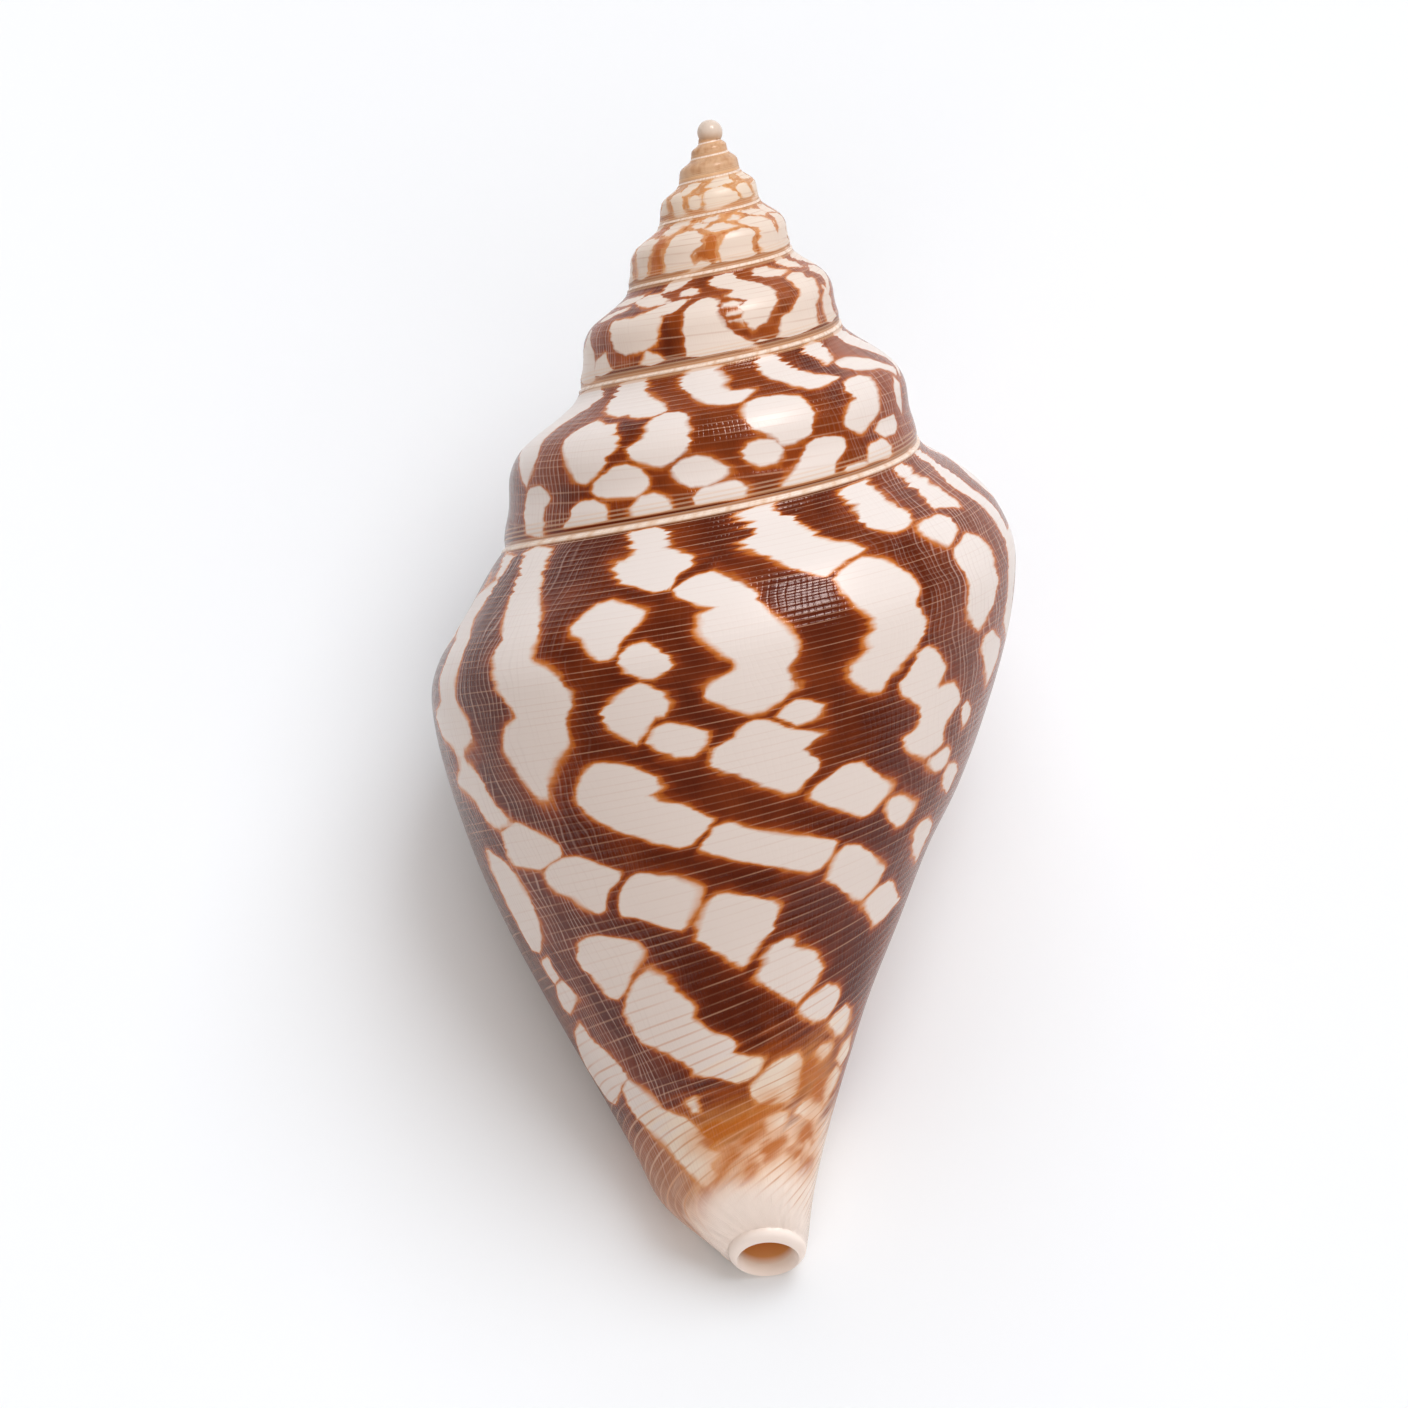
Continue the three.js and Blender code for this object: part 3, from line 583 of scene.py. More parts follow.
# The outlines of the white patches as the camera sees them, in pixels of a picture of FRAME by FRAME. They
# were read one by one. Whorls are counted from the last one towards the tip of the spire.
FRAME = 1408
LAST_WHORL_PATCHES = [
    [(506, 553), (514, 557), (500, 578), (488, 597), (474, 618), (470, 638), (462, 658), (455, 680),
     (456, 700), (468, 722), (473, 740), (466, 756), (471, 766), (481, 780), (492, 800), (507, 818),
     (514, 823), (500, 830), (486, 820), (475, 800), (465, 780), (457, 758), (449, 738), (442, 718),
     (438, 700), (440, 680), (447, 660), (456, 640), (466, 620), (479, 600), (492, 580)],
    [(524, 553), (519, 577), (510, 600), (504, 622), (503, 642), (494, 652), (493, 672), (499, 690),
     (507, 703), (517, 717), (507, 733), (503, 750), (512, 765), (522, 778), (532, 792), (541, 800),
     (549, 799), (548, 785), (553, 770), (560, 757), (570, 748), (568, 735), (566, 720), (573, 703),
     (571, 694), (558, 678), (545, 667), (531, 661), (532, 652), (539, 635), (541, 612), (540, 590),
     (544, 566), (552, 548), (538, 546)],
    [(633, 532), (655, 527), (667, 530), (668, 545), (676, 550), (690, 556), (697, 560), (690, 568),
     (680, 572), (674, 582), (670, 590), (655, 592), (640, 588), (622, 583), (616, 572), (612, 563),
     (626, 560), (636, 554), (628, 543)],
    [(570, 634), (573, 624), (585, 614), (598, 604), (612, 600), (630, 605), (646, 612), (641, 622),
     (630, 632), (620, 640), (618, 653), (608, 660), (598, 661), (588, 652), (582, 640)],
    [(620, 655), (630, 645), (645, 641), (660, 650), (673, 660), (668, 670), (655, 679), (642, 679),
     (626, 672), (620, 665)],
    [(672, 590), (682, 583), (695, 576), (712, 571), (728, 577), (745, 586), (757, 593), (756, 600),
     (770, 612), (783, 625), (795, 636), (800, 646), (795, 658), (784, 672), (797, 681), (800, 687),
     (788, 693), (778, 703), (766, 711), (750, 714), (735, 711), (718, 704), (705, 699), (703, 692),
     (712, 683), (728, 674), (735, 668), (737, 660), (722, 655), (710, 646), (700, 637), (697, 628),
     (700, 615), (716, 608), (700, 606), (690, 602), (678, 597)],
    [(772, 715), (785, 706), (798, 699), (812, 700), (828, 708), (826, 714), (812, 720), (795, 719)],
    [(600, 718), (601, 711), (612, 701), (625, 689), (640, 683), (650, 686), (662, 693), (672, 700),
     (670, 708), (665, 716), (655, 722), (645, 733), (636, 739), (622, 736), (608, 729)],
    [(645, 738), (655, 728), (668, 723), (685, 726), (700, 730), (711, 733), (707, 742), (700, 750),
     (692, 756), (676, 757), (662, 753), (650, 745)],
    [(708, 764), (713, 750), (725, 742), (729, 734), (742, 726), (755, 720), (770, 720), (786, 728),
     (802, 731), (824, 732), (814, 741), (803, 750), (814, 758), (822, 763), (816, 772), (805, 781),
     (797, 791), (786, 793), (770, 788), (755, 782), (738, 775), (722, 772)],
    [(808, 796), (815, 787), (828, 778), (840, 768), (852, 763), (862, 762), (868, 769), (880, 776),
     (892, 785), (888, 794), (880, 802), (872, 812), (862, 817), (850, 813), (835, 808), (820, 803)],
    [(886, 808), (889, 799), (899, 795), (908, 798), (915, 803), (911, 814), (903, 824), (897, 826),
     (889, 820)],
    [(577, 800), (578, 785), (584, 772), (593, 763), (605, 762), (622, 765), (640, 770), (655, 777),
     (662, 786), (655, 793), (648, 796), (660, 801), (672, 803), (688, 807), (700, 813), (714, 818),
     (708, 826), (700, 836), (692, 845), (680, 848), (668, 846), (655, 843), (640, 837), (625, 834),
     (610, 826), (595, 819), (584, 811)],
    [(700, 850), (706, 840), (716, 828), (728, 823), (745, 827), (762, 832), (785, 834), (800, 836),
     (820, 838), (838, 841), (834, 850), (828, 860), (820, 868), (810, 872), (795, 870), (780, 867),
     (762, 864), (740, 861), (720, 856)],
    [(828, 878), (831, 866), (838, 853), (846, 845), (858, 845), (868, 851), (876, 859), (885, 868),
     (880, 878), (873, 888), (862, 900), (856, 899), (845, 892), (835, 885)],
    [(862, 903), (870, 895), (880, 886), (890, 880), (896, 890), (899, 900), (892, 908), (882, 920),
     (874, 925), (868, 915)],
    [(835, 578), (846, 567), (862, 557), (880, 558), (893, 564), (906, 572), (915, 580), (921, 592),
     (912, 603), (922, 612), (927, 622), (923, 636), (917, 648), (905, 658), (900, 668), (893, 679),
     (882, 690), (870, 693), (859, 686), (850, 677), (850, 668), (859, 659), (868, 650), (863, 643),
     (870, 635), (876, 627), (872, 618), (862, 610), (850, 600), (842, 590)],
    [(738, 513), (755, 507), (778, 501), (770, 507), (785, 514), (797, 521), (807, 529), (818, 536),
     (832, 541), (850, 543), (866, 549), (850, 558), (838, 566), (826, 576), (812, 574), (795, 568),
     (778, 561), (762, 554), (746, 548), (746, 540), (757, 530), (746, 521)],
    [(836, 492), (850, 486), (865, 480), (870, 486), (880, 493), (888, 500), (898, 505), (908, 512),
     (913, 519), (906, 528), (895, 532), (880, 530), (868, 527), (860, 522), (858, 513), (852, 504),
     (844, 498)],
    [(893, 468), (903, 462), (912, 472), (922, 477), (934, 485), (946, 493), (958, 502), (963, 509),
     (952, 507), (940, 507), (934, 510), (928, 502), (920, 492), (908, 483), (900, 476)],
    [(915, 527), (925, 520), (938, 514), (950, 517), (958, 528), (953, 540), (948, 547), (938, 542),
     (926, 536)],
    [(952, 552), (958, 544), (966, 533), (976, 535), (986, 543), (993, 553), (994, 566), (998, 580),
     (995, 595), (992, 608), (985, 620), (979, 630), (973, 626), (968, 615), (967, 602), (970, 588),
     (966, 575), (958, 564)],
    [(908, 450), (918, 449), (930, 457), (945, 467), (958, 477), (972, 489), (986, 499), (998, 512),
     (1006, 528), (1009, 545), (1003, 537), (995, 522), (984, 508), (968, 496), (952, 487), (944, 478),
     (932, 467), (920, 457)],
    [(922, 438), (935, 445), (950, 455), (965, 466), (980, 479), (993, 492), (1003, 505), (996, 499),
     (984, 489), (970, 477), (955, 463), (940, 452), (928, 446)],
    [(1008, 520), (1013, 530), (1015, 560), (1013, 590), (1010, 620), (1005, 640), (1003, 620), (1007, 600),
     (1008, 575), (1007, 550), (1004, 535)],
    [(983, 638), (992, 630), (1000, 640), (998, 655), (992, 672), (986, 685), (985, 665), (981, 650)],
    [(920, 650), (928, 646), (937, 651), (943, 659), (946, 669), (942, 679), (937, 689), (946, 684),
     (953, 683), (959, 691), (961, 701), (954, 710), (947, 720), (943, 731), (944, 742), (935, 751),
     (925, 758), (914, 755), (905, 747), (903, 739), (912, 733), (919, 724), (922, 709), (912, 700),
     (902, 695), (902, 688), (908, 677), (914, 663)],
    [(928, 765), (930, 758), (938, 754), (947, 746), (950, 752), (947, 762), (941, 770), (935, 772)],
    [(943, 775), (948, 765), (955, 762), (957, 770), (952, 782), (947, 793), (943, 788)],
    [(913, 833), (920, 823), (928, 818), (932, 824), (929, 833), (924, 842), (920, 852), (916, 862),
     (912, 850)],
    [(961, 708), (967, 701), (971, 708), (968, 720), (962, 728)],
    [(500, 833), (515, 823), (525, 826), (540, 834), (552, 840), (560, 848), (563, 857), (552, 862),
     (540, 870), (528, 868), (515, 866), (508, 858), (506, 845)],
    [(543, 875), (550, 865), (562, 858), (578, 857), (592, 861), (606, 867), (622, 872), (618, 882),
     (610, 890), (606, 900), (606, 910), (598, 914), (585, 908), (572, 898), (558, 893), (549, 885)],
    [(618, 905), (620, 892), (628, 880), (638, 873), (655, 874), (675, 877), (690, 882), (703, 888),
     (700, 898), (695, 910), (688, 920), (682, 930), (665, 927), (650, 922), (635, 917), (622, 916)],
    [(696, 935), (700, 920), (706, 905), (715, 895), (730, 893), (750, 896), (768, 900), (780, 905),
     (776, 918), (772, 930), (762, 942), (752, 955), (744, 966), (730, 960), (718, 952), (705, 945)],
    [(756, 977), (762, 967), (764, 955), (772, 945), (785, 939), (796, 938), (793, 945), (803, 948),
     (814, 951), (821, 960), (821, 970), (815, 981), (807, 993), (797, 1003), (785, 999), (771, 989)],
    [(798, 1010), (806, 1000), (818, 992), (828, 984), (838, 986), (840, 995), (834, 1008), (826, 1018),
     (815, 1021), (806, 1017)],
    [(828, 1024), (835, 1014), (845, 1005), (850, 1010), (848, 1022), (842, 1034), (836, 1036)],
    [(812, 1055), (820, 1046), (832, 1042), (830, 1052), (822, 1060)],
    [(625, 1003), (632, 987), (640, 975), (649, 968), (660, 976), (675, 990), (688, 1001), (696, 1008),
     (691, 1017), (703, 1027), (716, 1034), (728, 1038), (739, 1044), (730, 1052), (745, 1056), (765, 1058),
     (760, 1070), (748, 1080), (738, 1084), (722, 1079), (705, 1076), (695, 1073), (683, 1062), (668, 1053),
     (652, 1047), (640, 1042), (633, 1030), (627, 1016)],
    [(750, 1088), (758, 1078), (768, 1068), (782, 1058), (798, 1053), (803, 1060), (800, 1072), (800, 1085),
     (795, 1095), (785, 1102), (770, 1105), (758, 1103), (752, 1096)],
    [(577, 958), (578, 945), (585, 938), (600, 936), (620, 938), (637, 943), (645, 950), (640, 960),
     (634, 970), (630, 980), (624, 992), (618, 1000), (608, 997), (600, 985), (590, 975), (582, 967)],
    [(488, 850), (500, 858), (510, 868), (520, 882), (528, 895), (534, 908), (539, 922), (542, 940),
     (540, 953), (532, 950), (524, 936), (516, 920), (508, 905), (500, 888), (492, 870)],
    [(541, 962), (548, 957), (553, 968), (560, 978), (555, 984), (548, 975)],
    [(556, 985), (562, 980), (570, 988), (578, 998), (574, 1006), (570, 1014), (563, 1008), (558, 997)],
    [(575, 1032), (580, 1024), (586, 1030), (592, 1040), (602, 1048), (612, 1058), (622, 1068), (628, 1078),
     (622, 1085), (620, 1095), (616, 1105), (608, 1100), (600, 1088), (590, 1073), (583, 1060),
     (578, 1047)],
    [(622, 1090), (628, 1080), (638, 1087), (652, 1098), (661, 1108), (672, 1114), (684, 1117), (694, 1124),
     (702, 1134), (714, 1141), (708, 1149), (720, 1154), (710, 1166), (718, 1176), (708, 1192), (693, 1176),
     (684, 1166), (676, 1157), (668, 1147), (658, 1139), (648, 1129), (638, 1118), (629, 1107)],
    [(762, 1125), (768, 1117), (780, 1112), (790, 1112), (785, 1122), (778, 1130), (768, 1134)],
    [(793, 1112), (803, 1102), (813, 1097), (822, 1100), (820, 1112), (813, 1124), (805, 1118)],
    [(687, 1102), (693, 1098), (700, 1104), (699, 1112), (692, 1113)],
    [(822, 1090), (828, 1078), (836, 1066), (840, 1072), (834, 1086), (827, 1100), (823, 1104)],
    [(836, 1060), (843, 1044), (850, 1036), (848, 1052), (840, 1066)],
]
SECOND_WHORL_PATCHES = [
    [(600, 386), (603, 394), (590, 407), (570, 419), (553, 431), (543, 441), (538, 457), (532, 472),
     (527, 488), (522, 478), (520, 462), (524, 446), (533, 434), (545, 423), (560, 413), (575, 399),
     (588, 390)],
    [(530, 488), (540, 486), (547, 492), (551, 501), (543, 509), (545, 522), (549, 535), (535, 540),
     (527, 530), (524, 514), (526, 499)],
    [(573, 433), (585, 426), (598, 420), (606, 425), (618, 423), (616, 432), (606, 434), (620, 436),
     (618, 444), (610, 454), (606, 463), (597, 476), (585, 485), (575, 480), (568, 467), (564, 455),
     (563, 444), (567, 437)],
    [(648, 423), (655, 417), (665, 413), (680, 412), (688, 415), (690, 427), (689, 441), (690, 449),
     (682, 454), (672, 461), (662, 468), (650, 466), (638, 462), (628, 457), (626, 451), (635, 443),
     (643, 437), (645, 430)],
    [(617, 385), (630, 380), (645, 379), (647, 389), (645, 394), (655, 399), (665, 404), (667, 412),
     (655, 416), (640, 418), (628, 415), (617, 417), (608, 414), (607, 407), (612, 399), (617, 394)],
    [(682, 377), (690, 368), (703, 365), (718, 366), (722, 375), (728, 380), (722, 385), (730, 391),
     (745, 389), (757, 388), (750, 394), (742, 402), (730, 404), (720, 405), (705, 404), (695, 398),
     (688, 392), (680, 385)],
    [(745, 403), (760, 397), (780, 395), (800, 396), (808, 405), (815, 412), (811, 423), (812, 433),
     (805, 438), (795, 443), (780, 445), (768, 442), (778, 437), (765, 433), (752, 428), (747, 421),
     (742, 410)],
    [(588, 490), (598, 479), (612, 468), (626, 464), (640, 469), (650, 478), (648, 488), (636, 496),
     (620, 498), (600, 497)],
    [(631, 508), (640, 497), (655, 493), (668, 498), (669, 507), (661, 516), (648, 520), (637, 517)],
    [(572, 509), (580, 502), (594, 500), (608, 507), (605, 517), (592, 526), (577, 532), (566, 530),
     (570, 520)],
    [(670, 470), (682, 459), (695, 456), (712, 457), (725, 464), (735, 470), (722, 479), (708, 486),
     (690, 488), (677, 482)],
    [(693, 496), (702, 488), (720, 483), (735, 480), (748, 486), (742, 495), (733, 501), (715, 507),
     (700, 505)],
    [(740, 454), (748, 444), (760, 440), (775, 439), (783, 448), (782, 456), (775, 463), (760, 466),
     (748, 462)],
    [(797, 466), (803, 457), (806, 446), (815, 438), (828, 436), (845, 437), (846, 446), (842, 454),
     (835, 463), (832, 472), (822, 480), (808, 486), (795, 488), (785, 483), (790, 473)],
    [(758, 354), (775, 353), (782, 359), (790, 366), (800, 371), (812, 374), (825, 375), (838, 377),
     (830, 382), (820, 387), (808, 389), (800, 387), (785, 383), (770, 379), (760, 373), (755, 363)],
    [(843, 383), (850, 378), (860, 375), (870, 377), (876, 386), (879, 398), (879, 411), (874, 419),
     (868, 427), (862, 433), (850, 430), (844, 427), (843, 419), (847, 410), (850, 403), (855, 398),
     (850, 393), (845, 388)],
    [(803, 346), (812, 341), (820, 342), (825, 348), (832, 355), (833, 360), (828, 364), (820, 361),
     (812, 357), (806, 352)],
    [(835, 362), (843, 357), (855, 357), (870, 359), (882, 363), (895, 368), (897, 376), (892, 372),
     (880, 368), (868, 370), (855, 370), (845, 368), (838, 367)],
    [(832, 332), (842, 340), (855, 346), (868, 350), (885, 357), (896, 367), (900, 378), (896, 363),
     (885, 352), (870, 344), (855, 337), (842, 329), (835, 326)],
    [(873, 429), (882, 419), (893, 415), (898, 424), (895, 434), (885, 437)],
    [(868, 455), (870, 444), (882, 439), (892, 444), (892, 455), (880, 463), (870, 462)],
    [(893, 376), (899, 383), (901, 398), (902, 414), (897, 403), (894, 390)],
    [(848, 472), (856, 465), (866, 463), (862, 470), (852, 475)],
]
THIRD_WHORL_PATCHES = [
    [(585, 341), (588, 328), (594, 327), (594, 341), (592, 355), (591, 374), (586, 379), (585, 360)],
    [(598, 324), (606, 317), (618, 311), (632, 306), (628, 310), (616, 315), (606, 321)],
    [(612, 308), (626, 300), (640, 296), (650, 293), (640, 300), (626, 306)],
    [(634, 304), (640, 299), (650, 295), (660, 294), (662, 298), (668, 299), (678, 300), (670, 303),
     (655, 306), (648, 308), (640, 306)],
    [(609, 330), (612, 322), (625, 319), (635, 318), (640, 315), (650, 311), (660, 307), (672, 302),
     (684, 299), (690, 299), (685, 304), (678, 309), (672, 313), (662, 316), (658, 324), (657, 331),
     (660, 337), (655, 341), (645, 345), (635, 348), (625, 351), (616, 347), (611, 339)],
    [(634, 354), (642, 348), (652, 345), (660, 347), (665, 353), (660, 359), (655, 363), (645, 367),
     (636, 365)],
    [(600, 355), (606, 350), (612, 353), (614, 360), (612, 370), (606, 374), (600, 374), (599, 364)],
    [(665, 293), (668, 288), (672, 282), (682, 279), (691, 278), (688, 283), (682, 287), (672, 291)],
    [(676, 295), (684, 290), (692, 288), (698, 289), (700, 293), (690, 296), (680, 297)],
    [(708, 283), (716, 277), (726, 273), (736, 274), (738, 279), (748, 281), (760, 283), (770, 287),
     (776, 293), (777, 301), (774, 310), (768, 318), (760, 325), (754, 325), (748, 319), (743, 313),
     (740, 307), (748, 302), (742, 299), (732, 298), (726, 296), (734, 292), (726, 289), (714, 286)],
    [(750, 272), (756, 268), (766, 266), (774, 268), (786, 270), (794, 270), (788, 273), (776, 276),
     (764, 277), (754, 275)],
    [(773, 259), (780, 257), (788, 260), (798, 263), (808, 266), (800, 268), (788, 267), (778, 264)],
    [(784, 277), (794, 272), (802, 272), (806, 278), (813, 277), (817, 285), (818, 295), (816, 303),
     (815, 313), (811, 321), (806, 326), (799, 331), (790, 333), (780, 336), (775, 331), (776, 323),
     (782, 315), (790, 311), (797, 307), (798, 299), (800, 294), (797, 287), (792, 282)],
    [(825, 285), (828, 291), (831, 304), (833, 314), (830, 322), (822, 325), (817, 323), (820, 313),
     (821, 301), (825, 292)],
    [(806, 265), (815, 265), (822, 270), (827, 281), (830, 294), (832, 308), (829, 304), (826, 293),
     (824, 283), (818, 275), (810, 270)],
    [(690, 305), (700, 299), (710, 297), (716, 298), (720, 303), (717, 308), (720, 314), (724, 322),
     (728, 327), (738, 330), (746, 333), (755, 335), (748, 339), (738, 342), (740, 345), (728, 348),
     (722, 352), (710, 356), (700, 358), (690, 359), (682, 356), (681, 349), (683, 341), (684, 334),
     (681, 328), (684, 320), (684, 312)],
    [(730, 350), (745, 344), (760, 341), (770, 340), (758, 346), (742, 350)],
    [(765, 342), (780, 339), (795, 336), (806, 334), (795, 339), (780, 344)],
    [(720, 304), (734, 300), (748, 302), (736, 306), (722, 307)],
    [(724, 313), (740, 309), (748, 311), (736, 315), (726, 316)],
    [(728, 321), (742, 318), (754, 320), (742, 324), (732, 324)],
    [(746, 333), (758, 330), (770, 329), (762, 333), (750, 336)],
    [(786, 249), (796, 251), (808, 257), (818, 264), (808, 263), (796, 259), (787, 255)],
]
FOURTH_WHORL_PATCHES = [
    [(645, 235), (655, 229), (665, 224), (659, 231), (650, 237)],
    [(664, 235), (670, 227), (678, 222), (689, 220), (684, 227), (676, 232), (668, 237)],
    [(690, 227), (698, 223), (708, 224), (704, 228), (695, 229)],
    [(698, 221), (706, 218), (716, 216), (722, 218), (712, 222), (702, 223)],
    [(705, 230), (714, 224), (724, 222), (732, 224), (742, 226), (731, 228), (719, 231), (709, 232)],
    [(722, 220), (733, 215), (743, 214), (739, 219), (730, 221)],
    [(740, 211), (752, 208), (761, 209), (767, 212), (764, 215), (754, 215), (746, 214)],
    [(755, 203), (763, 204), (770, 209), (777, 212), (769, 212), (760, 209)],
    [(737, 221), (748, 216), (762, 216), (771, 220), (775, 227), (776, 236), (775, 248), (771, 253),
     (765, 253), (761, 254), (760, 246), (759, 239), (762, 233), (757, 228), (748, 225), (742, 224)],
    [(768, 213), (776, 213), (783, 218), (785, 227), (785, 236), (786, 245), (780, 249), (779, 236),
     (778, 225), (774, 218)],
    [(786, 219), (789, 227), (791, 236), (793, 244), (790, 245), (788, 236), (787, 227)],
    [(724, 236), (732, 231), (742, 228), (750, 228), (755, 233), (752, 241), (753, 249), (754, 255),
     (745, 259), (735, 262), (724, 265), (716, 266), (713, 260), (722, 255), (717, 249), (723, 243)],
    [(664, 257), (667, 249), (670, 242), (678, 235), (688, 231), (698, 231), (703, 236), (700, 241),
     (703, 246), (696, 249), (690, 254), (688, 261), (680, 265), (672, 268), (666, 268)],
    [(690, 266), (693, 260), (700, 256), (706, 257), (708, 262), (702, 268), (694, 271)],
    [(637, 257), (638, 249), (643, 242), (652, 239), (660, 239), (655, 245), (650, 253), (648, 261),
     (648, 271), (640, 275), (637, 267)],
    [(628, 255), (631, 247), (634, 251), (632, 261), (633, 274), (634, 283), (630, 284), (629, 270)],
]
FIFTH_WHORL_PATCHES = [
    [(679, 195), (683, 189), (690, 184), (698, 182), (701, 183), (697, 188), (691, 191), (688, 195),
     (684, 197)],
    [(706, 187), (711, 181), (720, 177), (729, 175), (734, 179), (738, 181), (727, 184), (715, 188)],
    [(735, 173), (741, 171), (747, 174), (751, 177), (744, 179), (739, 177)],
    [(752, 178), (757, 181), (759, 188), (759, 196), (756, 201), (754, 192), (752, 185)],
    [(704, 198), (705, 192), (713, 188), (722, 186), (730, 188), (735, 192), (737, 198), (737, 205),
     (728, 208), (716, 211), (706, 213), (704, 206)],
    [(738, 184), (744, 182), (749, 185), (751, 193), (751, 202), (745, 204), (741, 204), (741, 195),
     (738, 189)],
    [(689, 205), (691, 198), (697, 195), (702, 195), (702, 206), (702, 214), (694, 216), (689, 214)],
    [(673, 202), (675, 195), (681, 192), (685, 195), (683, 201), (681, 208), (681, 217), (674, 219),
     (673, 210)],
    [(662, 202), (666, 196), (670, 196), (668, 203), (667, 211), (668, 220), (664, 220), (662, 212)],
    [(666, 194), (672, 190), (680, 187), (676, 191), (670, 195)],
]

# Rust-coloured blotches on the shell's foot
FOOT_BLOTCHES = [
    [(724, 1165), (728, 1157), (733, 1151), (739, 1150), (737, 1156), (731, 1163), (724, 1173), (717, 1184),
     (713, 1190), (716, 1180), (721, 1171)],
    [(741, 1176), (743, 1166), (749, 1161), (756, 1160), (757, 1165), (752, 1172), (746, 1179),
     (741, 1182)],
    [(762, 1155), (764, 1146), (770, 1141), (778, 1141), (785, 1143), (779, 1150), (772, 1158),
     (765, 1161)],
    [(790, 1152), (796, 1147), (801, 1146), (804, 1152), (803, 1160), (799, 1158), (795, 1160)],
    [(802, 1170), (804, 1162), (808, 1155), (813, 1160), (811, 1168), (806, 1173)],
    [(798, 1140), (802, 1130), (808, 1124), (812, 1131), (812, 1140), (807, 1139), (803, 1145)],
    [(800, 1078), (804, 1068), (809, 1061), (816, 1061), (822, 1064), (816, 1072), (808, 1077),
     (801, 1085)],
    [(812, 1090), (816, 1082), (822, 1076), (825, 1080), (822, 1090), (821, 1100), (817, 1098)],
    [(742, 1141), (748, 1132), (756, 1126), (763, 1123), (766, 1130), (758, 1135), (750, 1141),
     (744, 1146)],
    [(700, 1141), (706, 1130), (715, 1123), (730, 1120), (745, 1114), (754, 1118), (744, 1127), (730, 1135),
     (720, 1142), (708, 1147)],
    [(703, 1196), (706, 1190), (712, 1190), (711, 1197), (708, 1207), (705, 1217), (702, 1210)],
    [(748, 1119), (756, 1111), (764, 1106), (773, 1103), (779, 1106), (768, 1112), (760, 1117),
     (752, 1124)],
]

# Patches just past the right side of the shell, as turns and places on the profile
FAR_PATCHES = [
    [(-0.515, 6.3), (-0.53, 5.9), (-0.558, 6.1), (-0.56, 6.7), (-0.54, 7.0), (-0.52, 6.9)],
    [(-0.53, 7.5), (-0.545, 7.3), (-0.56, 7.55), (-0.555, 7.95), (-0.537, 8.0)],
    [(-0.498, 8.2), (-0.515, 7.9), (-0.532, 8.4), (-0.54, 9.0), (-0.518, 9.1), (-0.5, 8.8)],
    [(-0.488, 9.6), (-0.502, 9.4), (-0.52, 9.7), (-0.515, 10.1), (-0.497, 10.1)],
    [(-0.468, 10.5), (-0.49, 10.4), (-0.51, 10.9), (-0.505, 11.4), (-0.48, 11.3)],
    [(-0.455, 11.9), (-0.47, 11.7), (-0.488, 12.0), (-0.48, 12.4), (-0.462, 12.4)],
]
WHITE_PATCHES = [
    LAST_WHORL_PATCHES, SECOND_WHORL_PATCHES, THIRD_WHORL_PATCHES, FOURTH_WHORL_PATCHES, FIFTH_WHORL_PATCHES,
]
SIDE_ROOM = 0.07  # the visible half of a whorl, with this share of a turn past it on both sides
NEAR_CORNERS = 8  # an outline's corner is placed by this many corners of the mesh
NEAR_PIXELS = 5
GROUPS = 4  # patches with a thin brown line between them go in different groups, so that it stays sharp
REACH = 3.0  # distances to the outlines are kept up to this many millimetres
FINENESS_POWER = 0.4  # of the whorl's size, for the fineness of the edges
LOWER_BAND = (5.5, 6.2)  # u from where, and to where, corners by the lower suture are moved past it
LOWER_MOVE = 0.6
UPPER_BAND = (0.6, 0.3)  # the same by the upper suture
UPPER_MOVE = 0.3
COPY_GAP = 0.45  # brown left round the visible patches
COPY_SHEAR = 0.012
COPY_SWAY = 0.3
COPY_WAVES = 3  # to a turn

# Spiral threads and sutures
STRIAE = 40  # spiral threads for each whorl of growth, on the last whorl
STRIA_STEP = 0.42  # between the spiral threads of the spire
STRIA_BLEND = 0.5  # turns from the spire's threads to the last whorl's
STRIA_START = -5.8  # the turn where the threads start,
STRIA_START_TURNS = 1.5  # to show in full after this many turns
SUTURE_BAND = 0.4  # no threads this close to the cover line
NO_SUTURE = 2.5
BEAD_END = 4  # depth under which the bead's faces end
BORE_REACH = 20  # distances into the bore are kept up to this

# Camera
CAMERA_TILT = 7.18
CAMERA_TURN = 3.961
CAMERA_DISTANCE = 420
CAMERA_LENS = 124.34
CAMERA_SENSOR = 36
CAMERA_SHIFT = np.array([3.845, 0.113, 0])
CAMERA_AIM = np.array([0, -50, 0])  # on the axis of the shell

VIEW = np.array(Matrix.Rotation(math.radians(CAMERA_TURN), 3, "Z")
                @ Matrix.Rotation(math.radians(CAMERA_TILT), 3, "X"))
CAMERA_AXES = REST @ VIEW.T  # right, up and back
CAMERA_PLACE = in_frame(CAMERA_AIM + VIEW.T @ (np.array([0, 0, CAMERA_DISTANCE]) - CAMERA_SHIFT)) / 1000


def in_picture(points):
    """Pixels where the camera sees points of the frame, in metres."""
    seen = (points - CAMERA_PLACE) @ CAMERA_AXES
    scale = CAMERA_LENS / CAMERA_SENSOR * FRAME / -seen[:, 2]
    return np.stack([FRAME / 2 + seen[:, 0] * scale, FRAME / 2 - seen[:, 1] * scale], axis=1)


